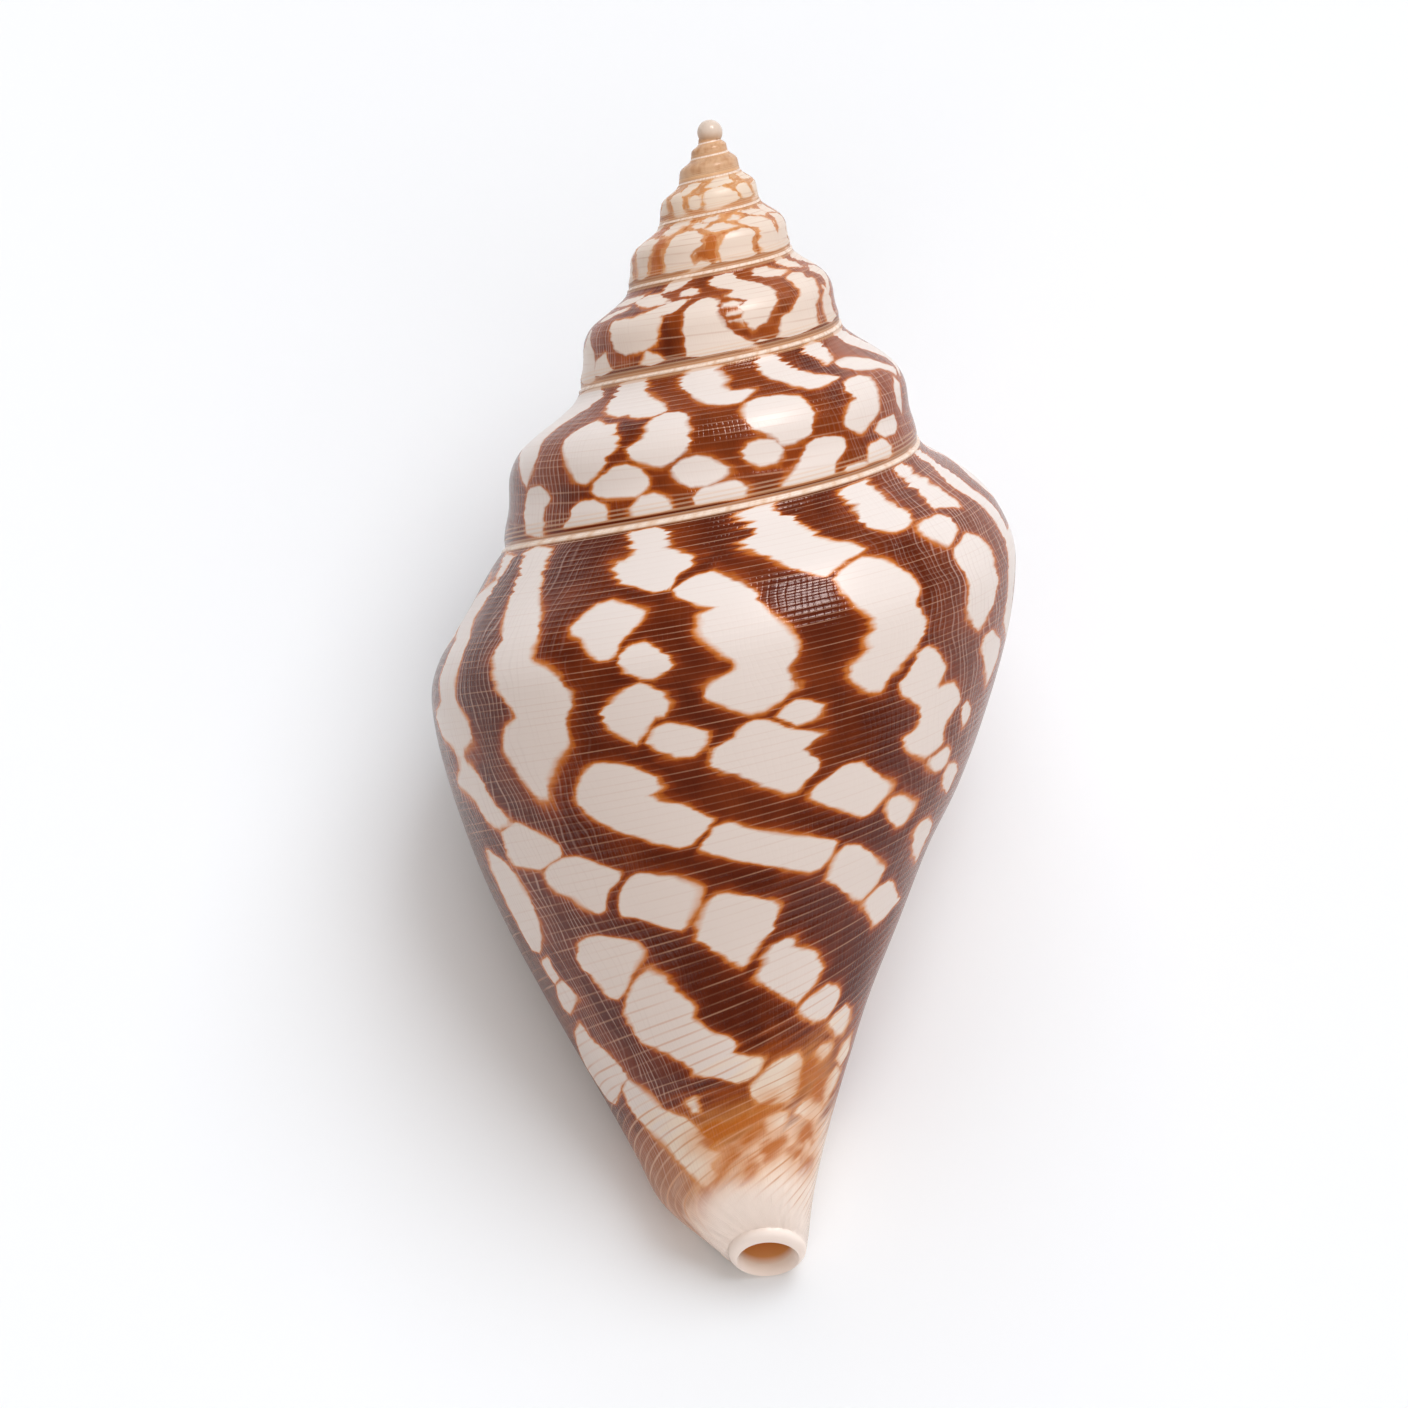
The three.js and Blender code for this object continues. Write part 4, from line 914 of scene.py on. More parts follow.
def on_shell(outlines, turn, u, pixels):
    """Turn and u of outlines given in pixels, from the corners that the camera sees."""
    placed_outlines = []
    for outline in outlines:
        places = []
        for pixel in np.array(outline, float):
            away = ((pixels - pixel) ** 2).sum(1)
            near = np.argpartition(away, NEAR_CORNERS)[:NEAR_CORNERS]
            nearest = near[np.argmin(away[near])]
            place = np.array([turn[nearest], u[nearest]])
            # Between the nearest corners, turn and u are read off a plane through them
            if away[nearest] < NEAR_PIXELS ** 2:
                known = np.column_stack([pixels[near] - pixel, np.ones(len(near))])
                fit = np.linalg.lstsq(known, np.column_stack([turn[near], u[near]]), rcond=None)[0][2]
                low, high = (np.array([f(turn[near]), f(u[near])]) for f in (np.min, np.max))
                place = np.clip(fit, low, high)
            places.append(place)
        placed_outlines.append(np.array(places))
    return placed_outlines


def grouped(outlines):
    """A group for each outline, so that neighbours are in different ones."""
    points = [np.array(outline, float) for outline in outlines]
    groups = []
    for i, here in enumerate(points):
        room = np.full(GROUPS, 1e9)
        for k in range(i):
            gap = ((here[:, None] - points[k][None]) ** 2).sum(2).min()
            room[groups[k]] = min(room[groups[k]], gap)
        groups.append(int(np.argmax(room)))
    return groups


def to_outline(x, y, outline):
    """Distance to a closed outline, above 0 inside it, and how much of it is along x."""
    a, b = outline, np.roll(outline, -1, axis=0)
    edge = b - a
    ax, ay = x[:, None] - a[:, 0], y[:, None] - a[:, 1]
    share = np.clip((ax * edge[:, 0] + ay * edge[:, 1]) / np.maximum((edge ** 2).sum(1), 1e-12), 0, 1)
    dx, dy = ax - share * edge[:, 0], ay - share * edge[:, 1]
    away = dx ** 2 + dy ** 2
    nearest = away.argmin(1)
    distance = np.sqrt(away.min(1))
    along = np.abs(dx[np.arange(len(x)), nearest]) / np.maximum(distance, 1e-9)
    rising = (a[:, 1] > y[:, None]) != (b[:, 1] > y[:, None])
    slope = edge[:, 0] / np.where(np.abs(edge[:, 1]) < 1e-12, 1e-12, edge[:, 1])
    inside = (rising & (ax < ay * slope)).sum(1) % 2 == 1
    return np.where(inside, distance, -distance), along


def to_sutures(outline):
    """An outline of the spire, whose corners near a suture are moved on past it."""
    u = outline[:, 1]
    down = np.clip((u - LOWER_BAND[0]) / (LOWER_BAND[1] - LOWER_BAND[0]), 0, 1)
    up = np.clip((UPPER_BAND[0] - u) / (UPPER_BAND[0] - UPPER_BAND[1]), 0, 1)
    return np.column_stack([outline[:, 0], u + LOWER_MOVE * down - UPPER_MOVE * up])


def lengths_at(turn, u):
    """Millimetres along the surface for each unit of turn and of u."""
    step = 0.01
    places = surface_point(np.array([turn, turn, turn + step]), np.array([u, u + step, u]))
    return np.linalg.norm(places[2] - places[0]) / step, np.linalg.norm(places[1] - places[0]) / step


def add_patch(outline, group, turn, u, fields, fray, limit=None):
    """Adds a patch to the distances of its group at each turn and u."""
    middle = outline.mean(0)
    lengths = np.array(lengths_at(*middle))
    low, high = outline.min(0) - REACH / lengths, outline.max(0) + REACH / lengths
    near = np.flatnonzero((turn > low[0]) & (turn < high[0]) & (u > low[1]) & (u < high[1]))
    if not len(near):
        return
    distance, along = to_outline(turn[near] * lengths[0], u[near] * lengths[1], outline * lengths)
    if limit is not None:
        distance = np.minimum(distance, limit[near])
    before = fields[:, near].max(0)
    fray[near] = np.where(distance > before, along, fray[near])
    fields[group, near] = np.maximum(fields[group, near], distance)


def markings(grid_turn, grid_u, grid_world, grid_out, turn, u):
    """Distances to the patches at each turn and u, by group, and how much their edges fray."""
    towards = CAMERA_PLACE - grid_world
    facing = (towards * grid_out).sum(1) > 0
    pixels = in_picture(grid_world)
    fields = np.full((GROUPS, len(turn)), -REACH)
    fray = np.zeros(len(turn))
    whorls = []
    for k, outlines in enumerate(WHITE_PATCHES):
        seen = facing & (grid_turn > -k - 0.5 - SIDE_ROOM) & (grid_turn < -k + SIDE_ROOM)
        found = on_shell(outlines, grid_turn[seen], grid_u[seen], pixels[seen])
        if k > 1:
            found = [to_sutures(outline) for outline in found]
        groups = grouped(outlines)
        whorls.append((found, groups))
        for outline, group in zip(found, groups):
            add_patch(outline, group, turn, u, fields, fray)
    limit = -(fields.max(0) + COPY_GAP)
    blotch = np.full((1, len(turn)), -REACH)
    for outline in on_shell(FOOT_BLOTCHES, grid_turn[facing], grid_u[facing], pixels[facing]):
        add_patch(outline, 0, turn, u, blotch, np.zeros(len(turn)))
    for i, outline in enumerate(FAR_PATCHES):
        add_patch(np.array(outline), i % GROUPS, turn, u, fields, fray, limit)
    # The far side has the same patches half a turn on, a little changed
    for found, groups in whorls:
        for outline, group in zip(found, groups):
            for shift in (-0.5, 0.5):
                moved = outline + (shift, 0)
                sway = np.sin(COPY_WAVES * 2 * np.pi * outline[:, 0]) * np.minimum(1, outline[:, 1] / 2)
                moved[:, 0] += COPY_SHEAR * np.sin(1.1 * outline[:, 1] + 2)
                moved[:, 1] += COPY_SWAY * sway
                add_patch(moved, (group + 1) % GROUPS, turn, u, fields, fray, limit)
    return fields, fray, blotch[0]


# The finished mesh

def coordinates(mesh):
    found = np.empty(len(mesh.vertices) * 3)
    mesh.vertices.foreach_get("co", found)
    return found.reshape(-1, 3)


def add_attribute(mesh, name, values):
    mesh.attributes.new(name, "FLOAT", "POINT").data.foreach_set("value", np.asarray(values, np.float32))


shell, grid_points, grid_normals, grid_turn, grid_u = build_shell()

# Corners that the cuts have left in place keep the turn and u that they were made with
co = coordinates(shell.data)
tree = KDTree(len(grid_points))
for i, p in enumerate(grid_points):
    tree.insert(p, i)
tree.balance()
nearest = [tree.find(p)[1:] for p in co]
match = np.array([i for i, _ in nearest])
on_outside = np.array([away for _, away in nearest]) < MATCH_DISTANCE

# The smooth surface stands a little off the flat faces of the part, so it is fitted to the part's box
world = in_frame(co) / 1000
low, high = world.min(0), world.max(0)
part_low, part_high = (np.array(corner) for corner in cad_box)
room = FIT_ROOM * (part_high - part_low)
fit = (part_high - part_low - 2 * room) / (high - low)


def fitted(points):
    return part_low + room + (in_frame(points) / 1000 - low) * fit


shell.data.vertices.foreach_set("co", fitted(co).astype(np.float32).ravel())
shell.data.update()
shell.data.polygons.foreach_set("use_smooth", [True] * len(shell.data.polygons))
shell.data.set_sharp_from_angle(angle=math.radians(SHARP_ANGLE))

# Distances to the markings
turn, u = grid_turn[match], grid_u[match]
fields, fray, blotch = markings(grid_turn, grid_u, fitted(grid_points), grid_normals @ REST.T, turn, u)
for i, field in enumerate(fields):
    add_attribute(shell.data, f"patch_{i}", field)
add_attribute(shell.data, "fray", fray)
add_attribute(shell.data, "blotch", blotch)
add_attribute(shell.data, "fineness", scale_at(turn) ** FINENESS_POWER)

# Spiral threads: level with the sutures on the spire, and towards the ring on the last whorl
depth = depth_and_radius(turn, u)[:, 0]
spire_stria = u * SUTURE_STEP * scale_at(turn) / STRIA_STEP
whorls_down = np.log(np.maximum(depth + TIP_LIFT, 1e-3) / SUTURE_DEPTH) / np.log(GROWTH)
share = np.clip((turn + 1) / STRIA_BLEND, 0, 1)
share = share * share * (3 - 2 * share)
by_suture = (u == 0) | ((turn < LIP_TURN - 1) & (u > COVER_LINE - SUTURE_BAND))
stria_fade = np.clip((turn - STRIA_START) / STRIA_START_TURNS, 0, 1)
add_attribute(shell.data, "stria", share * STRIAE * (whorls_down - turn) + (1 - share) * spire_stria)
add_attribute(shell.data, "stria_fade", np.where(by_suture | ~on_outside, 0, stria_fade))

# Places on the shell, and distances to the sutures and into the bore
add_attribute(shell.data, "turn", turn)
add_attribute(shell.data, "u", u)
add_attribute(shell.data, "depth", np.where(on_outside | (co[:, 1] < -BEAD_END), depth, -co[:, 1]))
across = SUTURE_STEP * np.sqrt(scale_at(turn))
upper = u * across
lower = np.where(turn < LIP_TURN - 1, (COVER_LINE - u) * across, NO_SUTURE)
add_attribute(shell.data, "suture", np.where(upper <= lower, upper, -lower))
add_attribute(shell.data, "suture_near", np.minimum(np.minimum(upper, lower), NO_SUTURE))
add_attribute(shell.data, "inside", np.where(on_outside, 0, 1))
ring_centre, ring_out = plane_of_ring(grid_points[(grid_u == RING_LINE) & (grid_turn < LIP_TURN)])
add_attribute(shell.data, "bore", np.clip((ring_centre - co) @ ring_out, -1, BORE_REACH))


# Materials

def colour(red, green, blue):
    """The linear colour of 8-bit red, green and blue."""
    shares = [c / 255 for c in (red, green, blue)]
    return tuple(c / 12.92 if c <= 0.04045 else ((c + 0.055) / 1.055) ** 2.4 for c in shares) + (1,)


WHITE = colour(233, 219, 210)
SPIRE_WHITE = colour(231, 209, 191)
# Colours by the distance to the outline of a white patch, in millimetres and below 0 outside it
LAST_WHORL_BROWN = [
    (-2.2, colour(88, 28, 4)), (-1.1, colour(100, 35, 7)), (-0.5, colour(130, 50, 10)),
    (-0.24, colour(188, 98, 32)), (-0.06, colour(212, 136, 74)),
]
FAIR_BROWN = [(-0.8, colour(190, 104, 42)), (-0.06, colour(222, 158, 104))]
SPIRE_AMBER = [
    (-1.2, colour(236, 192, 146)), (-0.35, colour(212, 142, 82)), (-0.1, colour(222, 168, 116)),
    (0.12, colour(234, 210, 186)),
]
FOOT_RUST = [
    (-0.9, colour(146, 66, 18)), (-0.4, colour(176, 92, 36)), (-0.1, colour(212, 142, 86)),
    (0.15, colour(240, 220, 200)),
]
SECOND_WHORL_BROWN = colour(152, 68, 18)
# Lighter brown for the right side of the shell, where the light falls: painted light
PAINTED_LIGHT_RIGHT_BROWN = colour(168, 84, 44)
WARM_BROWN = colour(146, 62, 16)
OLDEST_FAIR = colour(214, 170, 132)
OLDEST_DARK = colour(192, 140, 98)

WASHED_BROWN = colour(206, 154, 120)
WASHED_THREAD = colour(232, 196, 170)
FOOT_PALE = colour(250, 226, 206)
BLOTCH_RIM = colour(220, 146, 78)
BLOTCH_RUST = colour(188, 98, 18)
FOOT_WHITE = colour(255, 236, 222)
# The ring's rim: its own pale colour, raised to near white as painted light on a face the lamps leave in
# shade
RING_PALE_AND_PAINTED_LIGHT = colour(255, 238, 226)

THREAD_ON_BROWN = colour(230, 180, 146)
THREAD_ON_WHITE = colour(196, 146, 116)
THREAD_ON_FOOT = colour(206, 136, 84)
# Pale net lines on the brown of the sides: partly growth lines, partly painted sheen at the limbs
CROSSING_AND_SHEEN_ON_BROWN = colour(220, 186, 170)
CROSSING_ON_WHITE = colour(176, 148, 136)

ABOVE_SUTURE = colour(214, 158, 110)
BESIDE_SUTURE = colour(226, 186, 150)
CORD_EDGE = colour(196, 136, 90)
CORD_FAIR = colour(250, 228, 210)
CORD_DARK = colour(234, 198, 168)

# Colours by the distance into the bore: near white at the rim, partly painted light, and deep orange further
# in, partly painted shade
BORE_LINING_PAINTED_LIGHT_AND_SHADE = [
    (-0.5, colour(255, 240, 230)), (0.3, colour(255, 236, 220)), (0.9, colour(216, 146, 84)),
    (2.0, colour(200, 114, 44)), (3.8, colour(176, 72, 4)), (8.0, colour(166, 64, 4)),
    (13.0, colour(220, 164, 114)), (18.0, colour(240, 218, 200)),
]
BEAD_FAIR = colour(220, 198, 180)
BEAD_DARK = colour(200, 152, 106)

AROUND = 150.0  # a turn of the last whorl is about this many millimetres
GROWTH_LINES = 250.0  # to a turn
LINE_BENDING = 5.0
CORD_STRANDS = 4.2  # to a millimetre
GLOSS = 0.25
BUMP_DISTANCE = 0.000025


class Shader:
    """Short ways to add nodes to a material."""

    def __init__(self, name):
        self.material = bpy.data.materials.new(name)
        self.material.use_nodes = True
        self.tree = self.material.node_tree
        self.surface = self.tree.nodes["Principled BSDF"]

    def put(self, value, socket):
        if isinstance(value, bpy.types.NodeSocket):
            self.tree.links.new(value, socket)
        else:
            socket.default_value = value

    def attribute(self, name):
        made = self.tree.nodes.new("ShaderNodeAttribute")
        made.attribute_name = name
        return made.outputs["Fac"]

    def math(self, operation, *values):
        made = self.tree.nodes.new("ShaderNodeMath")
        made.operation = operation
        for value, socket in zip(values, made.inputs):
            self.put(value, socket)
        return made.outputs[0]

    def times(self, first, *others):
        for other in others:
            first = self.math("MULTIPLY", first, other)
        return first

    def plus(self, first, second):
        return self.math("ADD", first, second)

    def minus(self, first, second):
        return self.math("SUBTRACT", first, second)

    def to_middle(self, value):
        """How far a value is from the middle between two whole numbers."""
        return self.math("ABSOLUTE", self.minus(self.math("FRACT", value), 0.5))

    def step(self, value, start, end, low=0.0, high=1.0):
        """Goes smoothly from low, where value is start, to high, where it is end."""
        made = self.tree.nodes.new("ShaderNodeMapRange")
        made.interpolation_type = "SMOOTHSTEP"
        for given, socket in zip((value, start, end, low, high), made.inputs):
            self.put(given, socket)
        return made.outputs[0]

    def mixed(self, share, first, second):
        made = self.tree.nodes.new("ShaderNodeMix")
        made.data_type = "RGBA"
        for given, i in ((share, 0), (first, 6), (second, 7)):
            self.put(given, made.inputs[i])
        return made.outputs[2]

    def noise(self, x, y, z, detail=2.0):
        place = self.tree.nodes.new("ShaderNodeCombineXYZ")
        for value, socket in zip((x, y, z), place.inputs):
            self.put(value, socket)
        made = self.tree.nodes.new("ShaderNodeTexNoise")
        self.put(place.outputs[0], made.inputs["Vector"])
        self.put(1.0, made.inputs["Scale"])
        self.put(detail, made.inputs["Detail"])
        return made.outputs[0]

    def ramp(self, value, stops):
        """The colour at a value between stops, which are values and colours."""
        low, high = stops[0][0], stops[-1][0]
        made = self.tree.nodes.new("ShaderNodeValToRGB")
        share = self.tree.nodes.new("ShaderNodeMapRange")
        for given, socket in zip((value, low, high), share.inputs):
            self.put(given, socket)
        self.put(share.outputs[0], made.inputs[0])
        bar = made.color_ramp.elements
        while len(bar) < len(stops):
            bar.new(0.5)
        for mark, (at, tint) in zip(bar, stops):
            mark.position = (at - low) / (high - low)
            mark.color = tint
        return made.outputs[0]


class Porcelain(Shader):
    """The look of the shell. Each step names a value, where it starts and ends, and what it goes between."""

    def __init__(self):
        super().__init__("porcelain")
        for name in ("turn", "u", "depth", "stria", "stria_fade", "inside", "suture", "suture_near", "bore"):
            setattr(self, name, self.attribute(name))
        self.around = self.times(self.turn, AROUND)
        angle = self.times(self.plus(self.turn, 0.25), 2 * math.pi)
        self.leftward = self.math("SINE", angle)  # 1 on the left side, -1 on the right side
        # 0 on the middle of the back, 1 on the sides, where the net of growth lines partly stands for
        # painted sheen
        self.aside = self.step(self.math("COSINE", angle), 0.55, 0.93, 1.0, 0.0)
        self.by_cord = self.step(self.suture_near, 1.0, 1.2, 1.0, 0.0)
        self.streaks = self.minus(self.streaky(1.1, 0.1, 0.0), 0.5)
        self.distance = self.to_patches()
        self.on_brown = self.step(self.distance, -0.45, -0.05, 1.0, 0.0)
        self.on_white = self.minus(1.0, self.on_brown)
        self.draw_threads()
        tint = self.on_cord(self.lined(self.footed(self.patched())))
        # The rim of the ring turns near white: its own pale colour, brightened as painted light because its
        # face gets little light
        tint = self.mixed(self.step(self.bore, 0.3, 1.7, 1.0, 0.0), tint, RING_PALE_AND_PAINTED_LIGHT)
        self.put(self.mixed(self.inside, tint, self.lining()), self.surface.inputs["Base Color"])
        self.finish_surface()

    def streaky(self, across, along, seed, detail=2.0):
        """Noise that is drawn out along the spiral threads."""
        return self.noise(self.times(self.stria, across), self.times(self.around, along), seed, detail)

    def to_patches(self):
        """Distance to the outline of the nearest white patch, with frayed and softened edges."""
        distance = self.attribute("patch_0")
        for i in range(1, GROUPS):
            distance = self.math("MAXIMUM", distance, self.attribute(f"patch_{i}"))
        edge_fray = self.attribute("fray")
        frayed = self.step(self.streaky(0.08, 0.08, 3.0), 0.4, 0.7)
        reach = self.times(edge_fray, self.plus(self.step(self.u, 0.8, 2.6, 2.4, 0.5), frayed))
        distance = self.plus(distance, self.times(self.streaks, reach))
        wobble = self.minus(self.streaky(0.32, 0.5, 5.0), 0.5)
        distance = self.plus(distance, self.times(wobble, 0.35))
        distance = self.math("DIVIDE", distance, self.attribute("fineness"))
        # Pale spots in the brown of the spire
        spots = self.minus(self.streaky(0.5, 0.4, 14.0), 0.4)
        spots = self.times(spots, self.step(self.turn, -3.2, -2.7, 1.6, 0.0))
        distance = self.plus(distance, self.times(spots, self.step(distance, -0.5, -0.1, 1.0, 0.0)))
        # White patches that end by a suture run on to it
        to_cord = self.step(self.suture, -1.0, -0.1, 0.0, 0.6)
        to_cord = self.times(to_cord, self.step(self.suture, -0.1, 0.05, 1.0, 0.0), self.by_cord)
        distance = self.plus(distance, to_cord)
        # The amber edge is wider in places, and an edge that frays also fades slowly
        spread = self.step(self.streaky(0.12, 0.12, 9.0), 0.35, 0.65, 0.6, 2.0)
        distance = self.math("MINIMUM", distance, self.times(distance, spread))
        soft = self.times(edge_fray, self.step(self.streaky(0.2, 0.2, 10.0), 0.35, 0.65))
        by_edge = self.math("MINIMUM", self.math("MAXIMUM", distance, -0.4), 0.4)
        return self.minus(distance, self.times(by_edge, self.step(soft, 0.0, 1.0, 0.0, 0.7)))

    def draw_threads(self):
        """Spiral threads, some of them pale over a long way, and fine growth lines across them, whose net on
        the sides is partly painted sheen.
        """
        self.thread = self.to_middle(self.stria)  # 0 in the middle of a thread
        strong = self.step(self.streaky(0.93, 0.07, 1.0), 0.42, 0.66, 0.22, 1.0)
        self.broken = self.streaky(1.0, 0.45, 2.0)
        self.line = self.times(self.step(self.thread, 0.0, 0.15, 1.0, 0.0), strong, self.stria_fade)
        weak = self.step(self.streaky(0.9, 0.06, 4.0), 0.4, 0.6, 0.25, 1.0)
        self.thin = self.times(self.step(self.thread, 0.02, 0.17, 1.0, 0.0), weak)
        bent = self.times(self.streaky(0.1, 0.25, 7.0, 1.0), LINE_BENDING)
        self.crossing = self.to_middle(self.plus(self.times(self.turn, GROWTH_LINES), bent))
        # The net of growth lines is drawn only on the sides: partly real growth lines, partly painted sheen
        # at the limbs
        net_and_sheen = self.times(self.step(self.crossing, 0.03, 0.2, 1.0, 0.0), self.stria_fade, self.aside)
        self.net_and_sheen = self.times(net_and_sheen, self.step(self.streaky(0.1, 0.9, 6.0), 0.35, 0.6))

    def patched(self):
        """Brown with white patches, fairer on the older whorls, and with painted light making the brown
        lighter on the right side.
        """
        turn, distance = self.turn, self.distance
        white = self.mixed(self.step(turn, -3.0, -0.9), SPIRE_WHITE, WHITE)
        dark = self.ramp(distance, LAST_WHORL_BROWN)
        fair = self.ramp(distance, FAIR_BROWN)
        older = self.times(self.step(turn, -1.0, -0.75, 1.0, 0.0), self.step(turn, -2.0, -1.5, 0.85, 0.5))
        older = self.times(older, self.step(self.streaky(0.07, 0.1, 13.0), 0.35, 0.6))
        dark = self.mixed(older, dark, SECOND_WHORL_BROWN)
        dark = self.mixed(self.step(turn, -3.2, -2.1), fair, dark)
        # The brown turns lighter on the right side, where the light falls: painted light
        dark = self.mixed(self.step(self.leftward, -0.98, -0.6, 0.36, 0.0), dark, PAINTED_LIGHT_RIGHT_BROWN)
        dark = self.mixed(self.step(self.streaky(0.1, 0.15, 11.0), 0.45, 0.75, 0.0, 0.4), dark, WARM_BROWN)
        dark = self.mixed(self.step(distance, -0.15, 0.17), dark, white)
        tint = self.mixed(self.step(turn, -5.0, -3.2), self.ramp(distance, SPIRE_AMBER), dark)
        shade = self.noise(self.times(self.around, 0.12), self.times(self.u, 0.25), 8.0)
        oldest = self.mixed(self.step(shade, 0.35, 0.7), OLDEST_FAIR, OLDEST_DARK)
        return self.mixed(self.step(turn, -5.1, -4.6, 1.0, 0.0), tint, oldest)

    def footed(self, tint):
        """The foot of the shell turns pale, with rust-coloured threads and blotches."""
        depth = self.depth
        foot = self.plus(depth, self.times(self.streaks, 12.0))
        foot = self.plus(foot, self.times(self.math("MAXIMUM", self.leftward, 0.15), -12.0))
        tint = self.mixed(self.step(foot, 72.5, 77.5), tint, self.ramp(self.distance, FOOT_RUST))
        washed = self.times(self.on_brown, self.step(depth, 84.0, 94.0, 0.0, 0.6))
        tint = self.mixed(washed, tint, WASHED_BROWN)
        pale_lines = self.times(self.thin, self.on_brown, self.step(depth, 80.0, 90.0, 0.0, 0.6))
        tint = self.mixed(pale_lines, tint, WASHED_THREAD)
        tint = self.mixed(self.step(foot, 81.0, 87.5), tint, FOOT_PALE)
        blotch = self.plus(self.attribute("blotch"), self.times(self.streaks, 3.0))
        tint = self.mixed(self.step(blotch, -2.4, 0.2, 0.0, 0.6), tint, BLOTCH_RIM)
        tint = self.mixed(self.step(blotch, -0.6, 0.4, 0.0, 0.85), tint, BLOTCH_RUST)
        on_foot = self.times(self.step(depth, 66.0, 84.0), self.step(foot, 88.0, 95.0, 1.0, 0.5))
        off_brown = self.math("MAXIMUM", self.on_white, self.step(foot, 79.0, 83.0))
        self.foot_line = self.times(self.thin, on_foot, off_brown)
        return self.mixed(self.step(foot, 88.0, 94.0), tint, FOOT_WHITE)

    def lined(self, tint):
        """Pale threads and growth lines, with a pale net on the brown of the sides that is partly painted
        sheen.
        """
        faint = self.step(self.turn, -3.0, -1.0, 0.5, 0.16)
        for share, line in (
            (self.times(self.line, self.on_brown, 0.4), THREAD_ON_BROWN),
            (self.times(self.line, self.on_white, faint), THREAD_ON_WHITE),
            (self.times(self.foot_line, 0.7), THREAD_ON_FOOT),
            # Pale net on the brown of the sides: partly growth lines, partly painted sheen
            (self.times(self.net_and_sheen, self.on_brown, 0.5), CROSSING_AND_SHEEN_ON_BROWN),
            (self.times(self.net_and_sheen, self.on_white, 0.14), CROSSING_ON_WHITE),
        ):
            tint = self.mixed(share, tint, line)
        return tint

    def on_cord(self, tint):
        """The cord along the suture, and the fine strands beside it."""
        suture, by_cord = self.suture, self.by_cord
        above = self.step(suture, -0.5, -0.2, 0.0, 0.45)
        above = self.times(above, self.step(self.turn, -1.0, -0.8, 1.0, 0.0), by_cord)
        tint = self.mixed(above, tint, ABOVE_SUTURE)
        strands = self.step(self.to_middle(self.times(suture, CORD_STRANDS)), 0.1, 0.3, 1.0, 0.0)
        strands = self.times(strands, self.step(self.suture_near, 0.7, 1.1, 1.0, 0.0))
        tint = self.mixed(self.times(strands, 0.45), tint, BESIDE_SUTURE)
        edge = self.times(self.step(suture, -0.14, -0.04), self.step(suture, 0.56, 0.68, 1.0, 0.0))
        tint = self.mixed(self.times(edge, by_cord, 0.6), tint, CORD_EDGE)
        top = self.times(self.step(suture, -0.06, 0.04), self.step(suture, 0.5, 0.6, 1.0, 0.0))
        cord = self.mixed(self.step(self.streaky(0.0, 0.8, 12.0), 0.4, 0.7), CORD_FAIR, CORD_DARK)
        return self.mixed(self.times(top, by_cord, 0.92), tint, cord)

    def lining(self):
        """The colour inside the bore and the aperture, and of the bead at the tip, with painted light at the
        bore's rim and painted shade deeper in.
        """
        bead_tint = self.mixed(self.step(self.depth, 0.7, 2.0), BEAD_FAIR, BEAD_DARK)
        # The bore's own orange lining, near white at the rim as painted light and darker deeper in as
        # painted shade
        return self.mixed(self.step(self.depth, 2.6, 2.8), bead_tint, self.ramp(self.bore, BORE_LINING_PAINTED_LIGHT_AND_SHADE))

    def finish_surface(self):
        """Roughness and fine relief."""
        rough = self.plus(self.step(self.distance, -0.3, 0.1, 0.15, 0.26), self.times(self.broken, 0.1))
        self.put(rough, self.surface.inputs["Roughness"])
        self.surface.inputs["Specular IOR Level"].default_value = GLOSS
        ridge = self.step(self.thread, 0.08, 0.42, 0.0, -1.0)
        cut = self.step(self.crossing, 0.28, 0.5, 0.0, -1.0)
        height = self.times(ridge, self.step(self.broken, 0.3, 0.7, 0.5, 1.0))
        height = self.plus(height, self.times(cut, self.step(self.broken, 0.3, 0.7, 0.25, 0.8)))
        height = self.times(height, self.stria_fade, self.step(self.distance, -0.3, 0.1, 1.0, 0.18))
        bump = self.tree.nodes.new("ShaderNodeBump")
        self.put(height, bump.inputs["Height"])
        bump.inputs["Strength"].default_value = 1.0
        bump.inputs["Distance"].default_value = BUMP_DISTANCE
        self.put(bump.outputs[0], self.surface.inputs["Normal"])


shell.data.materials.clear()
shell.data.materials.append(Porcelain().material)
shell.data.polygons.foreach_set("material_index", [0] * len(shell.data.polygons))

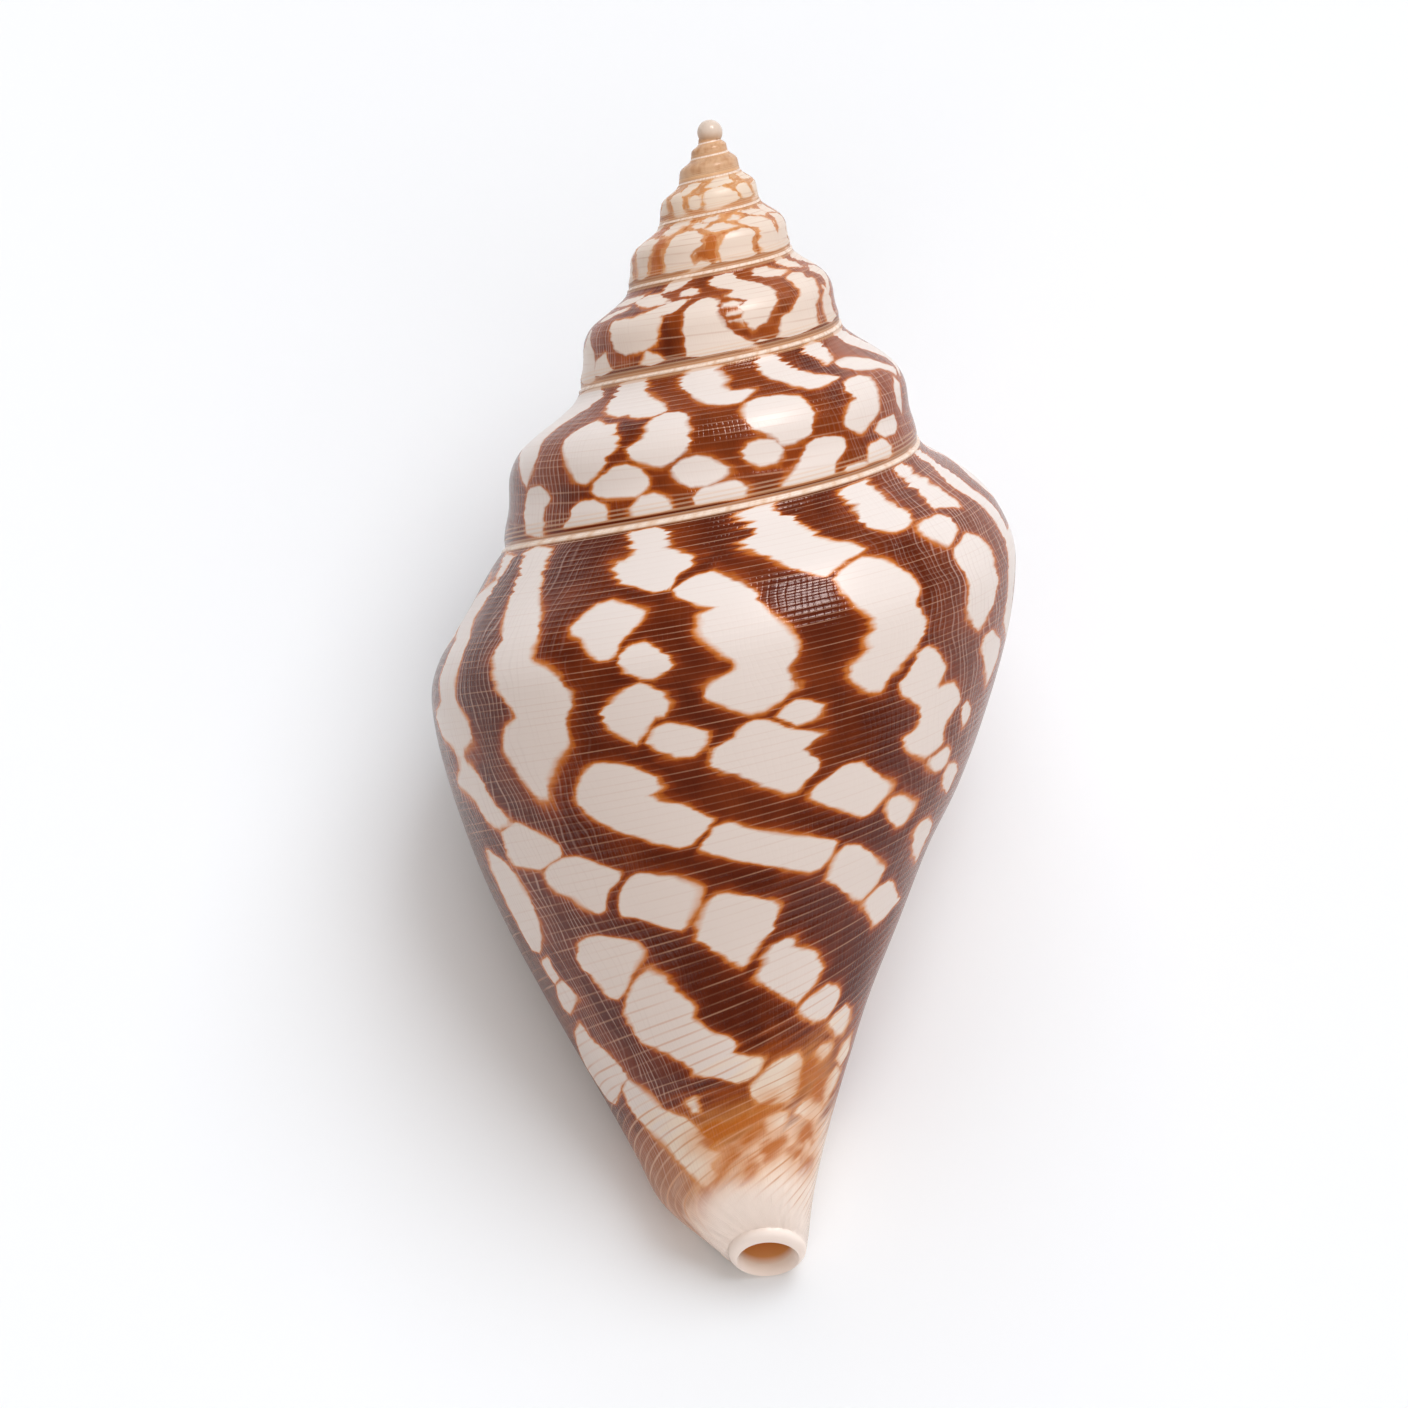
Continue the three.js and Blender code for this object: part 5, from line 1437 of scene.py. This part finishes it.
# Camera
data = bpy.data.cameras.new("camera")
data.lens = CAMERA_LENS
data.sensor_width = CAMERA_SENSOR
data.clip_start = 0.01
camera = bpy.data.objects.new("camera", data)
bpy.context.scene.collection.objects.link(camera)
camera.matrix_world = Matrix.Translation(Vector(CAMERA_PLACE)) @ Matrix(CAMERA_AXES.tolist()).to_4x4()
bpy.context.scene.camera = camera

# Floor
FLOOR_SIZE = 6
FLOOR_COLOUR = (0.9, 0.9, 0.9, 1)
FLOOR_ROUGHNESS = 0.95
bpy.ops.mesh.primitive_plane_add(size=FLOOR_SIZE, location=(0, 0, 0))
floor = bpy.context.object
floor.name = "floor"
ground = Shader("floor")
ground.surface.inputs["Base Color"].default_value = FLOOR_COLOUR
ground.surface.inputs["Roughness"].default_value = FLOOR_ROUGHNESS
ground.surface.inputs["Specular IOR Level"].default_value = 0.0
floor.data.materials.append(ground.material)

# Light
SKY_COLOUR = (1, 0.9, 0.84, 1)
SKY_STRENGTH = 0.22
SUNS = [  # name, direction towards it, share of full white on level ground, width in degrees and tint
    ("key", (0.44, 0.5, 0.85), 0.42, 36, (0.92, 1, 1.08)),
    ("rear", (0, 0.9, 0.8), 0.22, 40, (0.92, 1, 1.08)),
    ("fill", (0.15, -0.8, 1), 0.29, 90, (1, 0.93, 0.89)),
    ("glint", (0.36, 0.5, 0.85), 0.7, 21, (1, 0.87, 0.83)),
]
bpy.context.scene.view_settings.view_transform = "Standard"
studio = bpy.data.worlds.new("studio")
bpy.context.scene.world = studio
studio.use_nodes = True
studio.node_tree.nodes["Background"].inputs[0].default_value = SKY_COLOUR
studio.node_tree.nodes["Background"].inputs[1].default_value = SKY_STRENGTH
for name, towards, share, width, tint in SUNS:
    light = bpy.data.lights.new(name, "SUN")
    light.color = tint
    light.angle = math.radians(width)
    towards = Vector(towards).normalized()
    light.energy = share * math.pi / towards.z
    sun = bpy.data.objects.new(name, light)
    bpy.context.scene.collection.objects.link(sun)
    sun.rotation_euler = towards.to_track_quat("Z", "Y").to_euler()
    # The glint shows only as a reflection, and the other lights never do
    sun.visible_diffuse = name != "glint"
    sun.visible_glossy = name == "glint"

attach(shell, "root")
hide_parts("shell")
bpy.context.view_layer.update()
